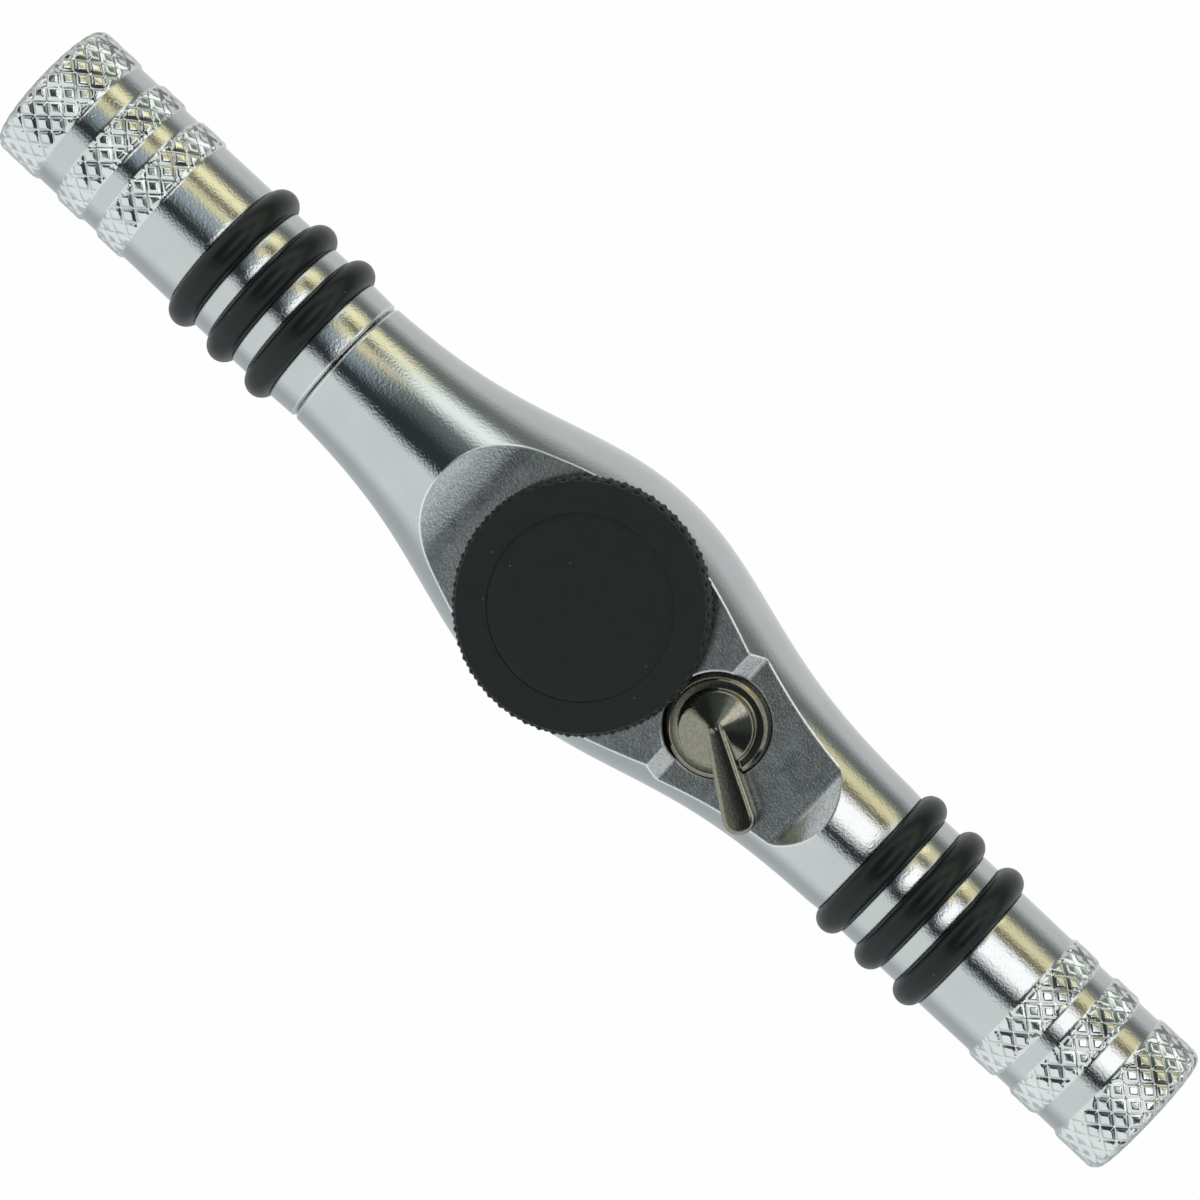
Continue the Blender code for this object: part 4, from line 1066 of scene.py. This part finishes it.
def blade_top(x):
    """Height of the thumb blade's crest: under the dome behind, rising a little to its tip."""
    if x < BLADE_CREST_X:
        return DOME_TOP - BLADE_DROP + (x - BLADE_CREST_X) * BLADE_BACK_SLOPE
    return DOME_TOP - BLADE_DROP + BLADE_RISE * max(x, 0.0) / BLADE_TIP_X


def blade_loop(inset, share):
    """One level of the blade: a tapered outline with round ends, inset all round."""
    back, tip = BLADE_BACK_HALF - inset, BLADE_TIP_HALF - inset
    half = arc((BLADE_BACK_X, 0.0), back, math.pi, math.pi / 2.0, 8)
    for x in between(BLADE_BACK_X, BLADE_TIP_X, BLADE_ROW)[1:-1]:
        part = (x - BLADE_BACK_X) / (BLADE_TIP_X - BLADE_BACK_X)
        half.append((x, back + (tip - back) * part))
    half += arc((BLADE_TIP_X, 0.0), tip, math.pi / 2.0, 0.0, 14)
    loop = [(x, -y) for x, y in half] + list(reversed(half[1:-1]))
    return [(x, y, BLADE_BOTTOM + (blade_top(x) - BLADE_BOTTOM) * share) for x, y in loop]


def lever_profile():
    disc_low, disc_high = DISC_Z
    groove, groove_low, groove_high = CLIP_GROOVE
    shaft_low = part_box("reversing_lever")[0].z
    shaft = LEVER_SHAFT_RADIUS
    edge = LEVER_EDGE
    points = [(shaft_low, 0.0), (shaft_low, shaft - edge), (shaft_low + edge, shaft),
              (groove_low, shaft), (groove_low, groove), (groove_high, groove),
              (groove_high, shaft), (disc_low, shaft), (disc_low, DISC_RADIUS - edge),
              (disc_low + edge, DISC_RADIUS), (disc_high - DISC_CHAMFER, DISC_RADIUS),
              (disc_high, DISC_RADIUS - DISC_CHAMFER)]
    root = DOME_ROOT
    points += arc((disc_high + root, DOME_RADIUS + root), root, math.pi, math.pi * 1.5, 5)
    brim = DOME_RADIUS - DOME_SHOULDER * DOME_BRIM_SHARE
    end = (dome_height(brim), brim)
    start = (end[0] - DOME_SHOULDER, DOME_RADIUS)
    bend_share, bend_inset = DOME_BEND
    bend = (end[0] - DOME_SHOULDER * bend_share, DOME_RADIUS - bend_inset)
    for step in range(DOME_BEND_STEPS + 1):
        part = step / DOME_BEND_STEPS
        points.append(tuple((1 - part) ** 2 * a + 2 * part * (1 - part) * b + part ** 2 * c
                            for a, b, c in zip(start, bend, end)))
    for step in range(1, DOME_STEPS + 1):
        radius = brim * (1.0 - step / DOME_STEPS)
        points.append((dome_height(radius), radius))
    return points


def along_detent(obj):
    """Lay a piece that was made about Z along the lever's cross hole."""
    tilt = Matrix.Rotation(math.pi / 2.0, 4, "Y")
    obj.data.transform(Matrix.Translation((0.0, 0.0, DETENT_Z)) @ tilt)
    return obj


def build_lever(materials):
    lever = revolved("flip_lever", lever_profile(), ROUND_COLUMNS)
    loops = [blade_loop(inset, share) for inset, share in BLADE_LEVELS]
    blade = stacked("blade", loops, paired=True)
    combined(lever, blade, "UNION")
    reach = LEVER_SHAFT_RADIUS + OVERSHOOT
    hole = cylinder("detent_cutter", DETENT_HOLE_RADIUS, -reach, DETENT_HOLE_END, SMALL_COLUMNS)
    combined(lever, along_detent(hole), "DIFFERENCE")
    moved(lever, (LEVER_X, 0.0, 0.0), LEVER_REST_TURN)
    finished(lever, "lever", "reversing_lever", "black_nickel", materials["black_nickel"])


def build_spring(materials):
    """Detent spring, standing against the bottom of its hole behind the plunger."""
    low, high = SPRING_SPAN
    loops = []
    for step in range(SPRING_STEPS + 1):
        part = step / SPRING_STEPS
        around = math.tau * SPRING_TURNS * part
        middle = low + SPRING_WIRE + (high - low - 2.0 * SPRING_WIRE) * part
        section = arc((middle, SPRING_RADIUS), SPRING_WIRE, 0.0,
                      math.tau * (1.0 - 1.0 / SPRING_SECTION), SPRING_SECTION - 1)
        loops.append([(radius * math.cos(around), radius * math.sin(around), height)
                      for height, radius in section])
    spring = along_detent(stacked("plunger_spring", loops))
    moved(spring, (LEVER_X, 0.0, 0.0), LEVER_REST_TURN)
    finished(spring, "lever", "detent_spring", "spring_steel", materials["spring"])
    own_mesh(spring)


# -------- inner pieces from the frame

def paint_inner_pieces(materials):
    finishes = {"wheel_screw": "steel", "wheel_washer": "spring", "bit_magnet": "magnet",
                "lever_clip": "spring", "detent_plunger": "steel",
                "pawl": "steel", "pawl_pin": "steel"}
    for node, finish in finishes.items():
        mesh = frame["nodes"][node].data
        mesh.materials.clear()
        mesh.materials.append(materials[finish])


# -------- studio

def card_ramp(tree, angle, cards):
    """Colour ramp round the handle's axis, with each card plain and soft joins between."""
    ramp = tree.nodes.new("ShaderNodeValToRGB")
    stops = [(degrees, colour) for start, end, colour in cards for degrees in (start, end)]
    elements = ramp.color_ramp.elements
    for index, (degrees, colour) in enumerate(stops):
        position = (degrees + 180.0) / 360.0
        element = elements[index] if index < 2 else elements.new(position)
        element.position = position
        element.color = (*[channel / RADIANCE_SCALE for channel in colour], 1.0)
    tree.links.new(angle, ramp.inputs["Fac"])
    return ramp.outputs["Color"]


def calculation(tree, operation, *values):
    node = tree.nodes.new("ShaderNodeMath")
    node.operation = operation
    for index, value in enumerate(values):
        if isinstance(value, (int, float)):
            node.inputs[index].default_value = value
        else:
            tree.links.new(value, node.inputs[index])
    return node.outputs["Value"]


def build_world():
    world = bpy.data.worlds.new("studio")
    world.use_nodes = True
    bpy.context.scene.world = world
    tree = world.node_tree
    tree.nodes.clear()
    place = tree.nodes.new("ShaderNodeTexCoord")
    parts = tree.nodes.new("ShaderNodeSeparateXYZ")
    tree.links.new(place.outputs["Generated"], parts.inputs["Vector"])
    angle = calculation(tree, "ARCTAN2", parts.outputs["Y"], parts.outputs["Z"])
    share = calculation(tree, "MULTIPLY_ADD", angle, 1.0 / math.tau, 0.5)
    along = parts.outputs["X"]
    aside = calculation(tree, "ABSOLUTE", along)
    colour = card_ramp(tree, share, CARDS_LEFT)
    for cards, (start, end), measure in ((CARDS_RIGHT, SPLIT_MIDDLE, along),
                                         (CARDS_BESIDE, SPLIT_BESIDE, aside),
                                         (CARDS_FAR_SIDE, SPLIT_FAR_SIDE, along),
                                         (CARDS_ENDS, SPLIT_ENDS, aside)):
        split = tree.nodes.new("ShaderNodeMapRange")
        split.interpolation_type = "SMOOTHSTEP"
        split.inputs["From Min"].default_value = start
        split.inputs["From Max"].default_value = end
        tree.links.new(measure, split.inputs["Value"])
        colour = mixed_colour(tree, split.outputs["Result"], colour,
                              card_ramp(tree, share, cards))
    studio = tree.nodes.new("ShaderNodeBackground")
    studio.inputs["Strength"].default_value = RADIANCE_SCALE
    tree.links.new(colour, studio.inputs["Color"])
    backdrop = tree.nodes.new("ShaderNodeBackground")
    backdrop.inputs["Color"].default_value = (1.0, 1.0, 1.0, 1.0)
    path = tree.nodes.new("ShaderNodeLightPath")
    choose = tree.nodes.new("ShaderNodeMixShader")
    output = tree.nodes.new("ShaderNodeOutputWorld")
    tree.links.new(path.outputs["Is Camera Ray"], choose.inputs["Fac"])
    tree.links.new(studio.outputs["Background"], choose.inputs[1])
    tree.links.new(backdrop.outputs["Background"], choose.inputs[2])
    tree.links.new(choose.outputs["Shader"], output.inputs["Surface"])


def build_floor():
    """Pale floor just under the tool, clear from below; the studio cards light the metal."""
    size = FLOOR_SIZE
    height = CAD_BOX[0].z - FLOOR_GAP
    corners = [(-size, -size, height), (size, -size, height),
               (size, size, height), (-size, size, height)]
    floor = new_object("floor", corners, [(0, 1, 2, 3)])
    material = bpy.data.materials.new("pale_floor")
    material.use_nodes = True
    tree = material.node_tree
    tree.nodes.clear()
    glow = tree.nodes.new("ShaderNodeEmission")
    glow.inputs["Color"].default_value = (*FLOOR_COLOUR, 1.0)
    clear = tree.nodes.new("ShaderNodeBsdfTransparent")
    side = tree.nodes.new("ShaderNodeNewGeometry")
    choose = tree.nodes.new("ShaderNodeMixShader")
    output = tree.nodes.new("ShaderNodeOutputMaterial")
    tree.links.new(side.outputs["Backfacing"], choose.inputs["Fac"])
    tree.links.new(glow.outputs["Emission"], choose.inputs[1])
    tree.links.new(clear.outputs["BSDF"], choose.inputs[2])
    tree.links.new(choose.outputs["Shader"], output.inputs["Surface"])
    floor.data.materials.append(material)
    floor.visible_glossy = False
    floor.visible_diffuse = False
    floor.visible_shadow = False
    floor.visible_transmission = False


def build_camera():
    data = bpy.data.cameras.new("camera")
    data.sensor_width = CAMERA_SENSOR
    data.lens = CAMERA_LENS
    data.clip_start, data.clip_end = CAMERA_CLIP
    camera = bpy.data.objects.new("camera", data)
    bpy.context.scene.collection.objects.link(camera)
    back = CAMERA_LEAN.normalized()
    right = Vector((math.cos(PICTURE_TURN), math.sin(PICTURE_TURN), 0.0))
    right = (right - back * right.dot(back)).normalized()
    up = back.cross(right)
    turn = Matrix((right, up, back)).transposed()
    place = Matrix.Translation(CAMERA_TARGET + back * CAMERA_DISTANCE)
    camera.matrix_world = place @ turn.to_4x4()
    bpy.context.scene.camera = camera
    bpy.context.scene.view_settings.view_transform = "Standard"


def main():
    materials = make_materials()
    build_handle(materials)
    build_cap(materials)
    build_rings(materials)
    build_wheel(materials)
    build_spindle(materials)
    build_cover(materials)
    build_cover_screws(materials)
    build_lever(materials)
    build_spring(materials)
    paint_inner_pieces(materials)
    build_world()
    build_floor()
    build_camera()


main()
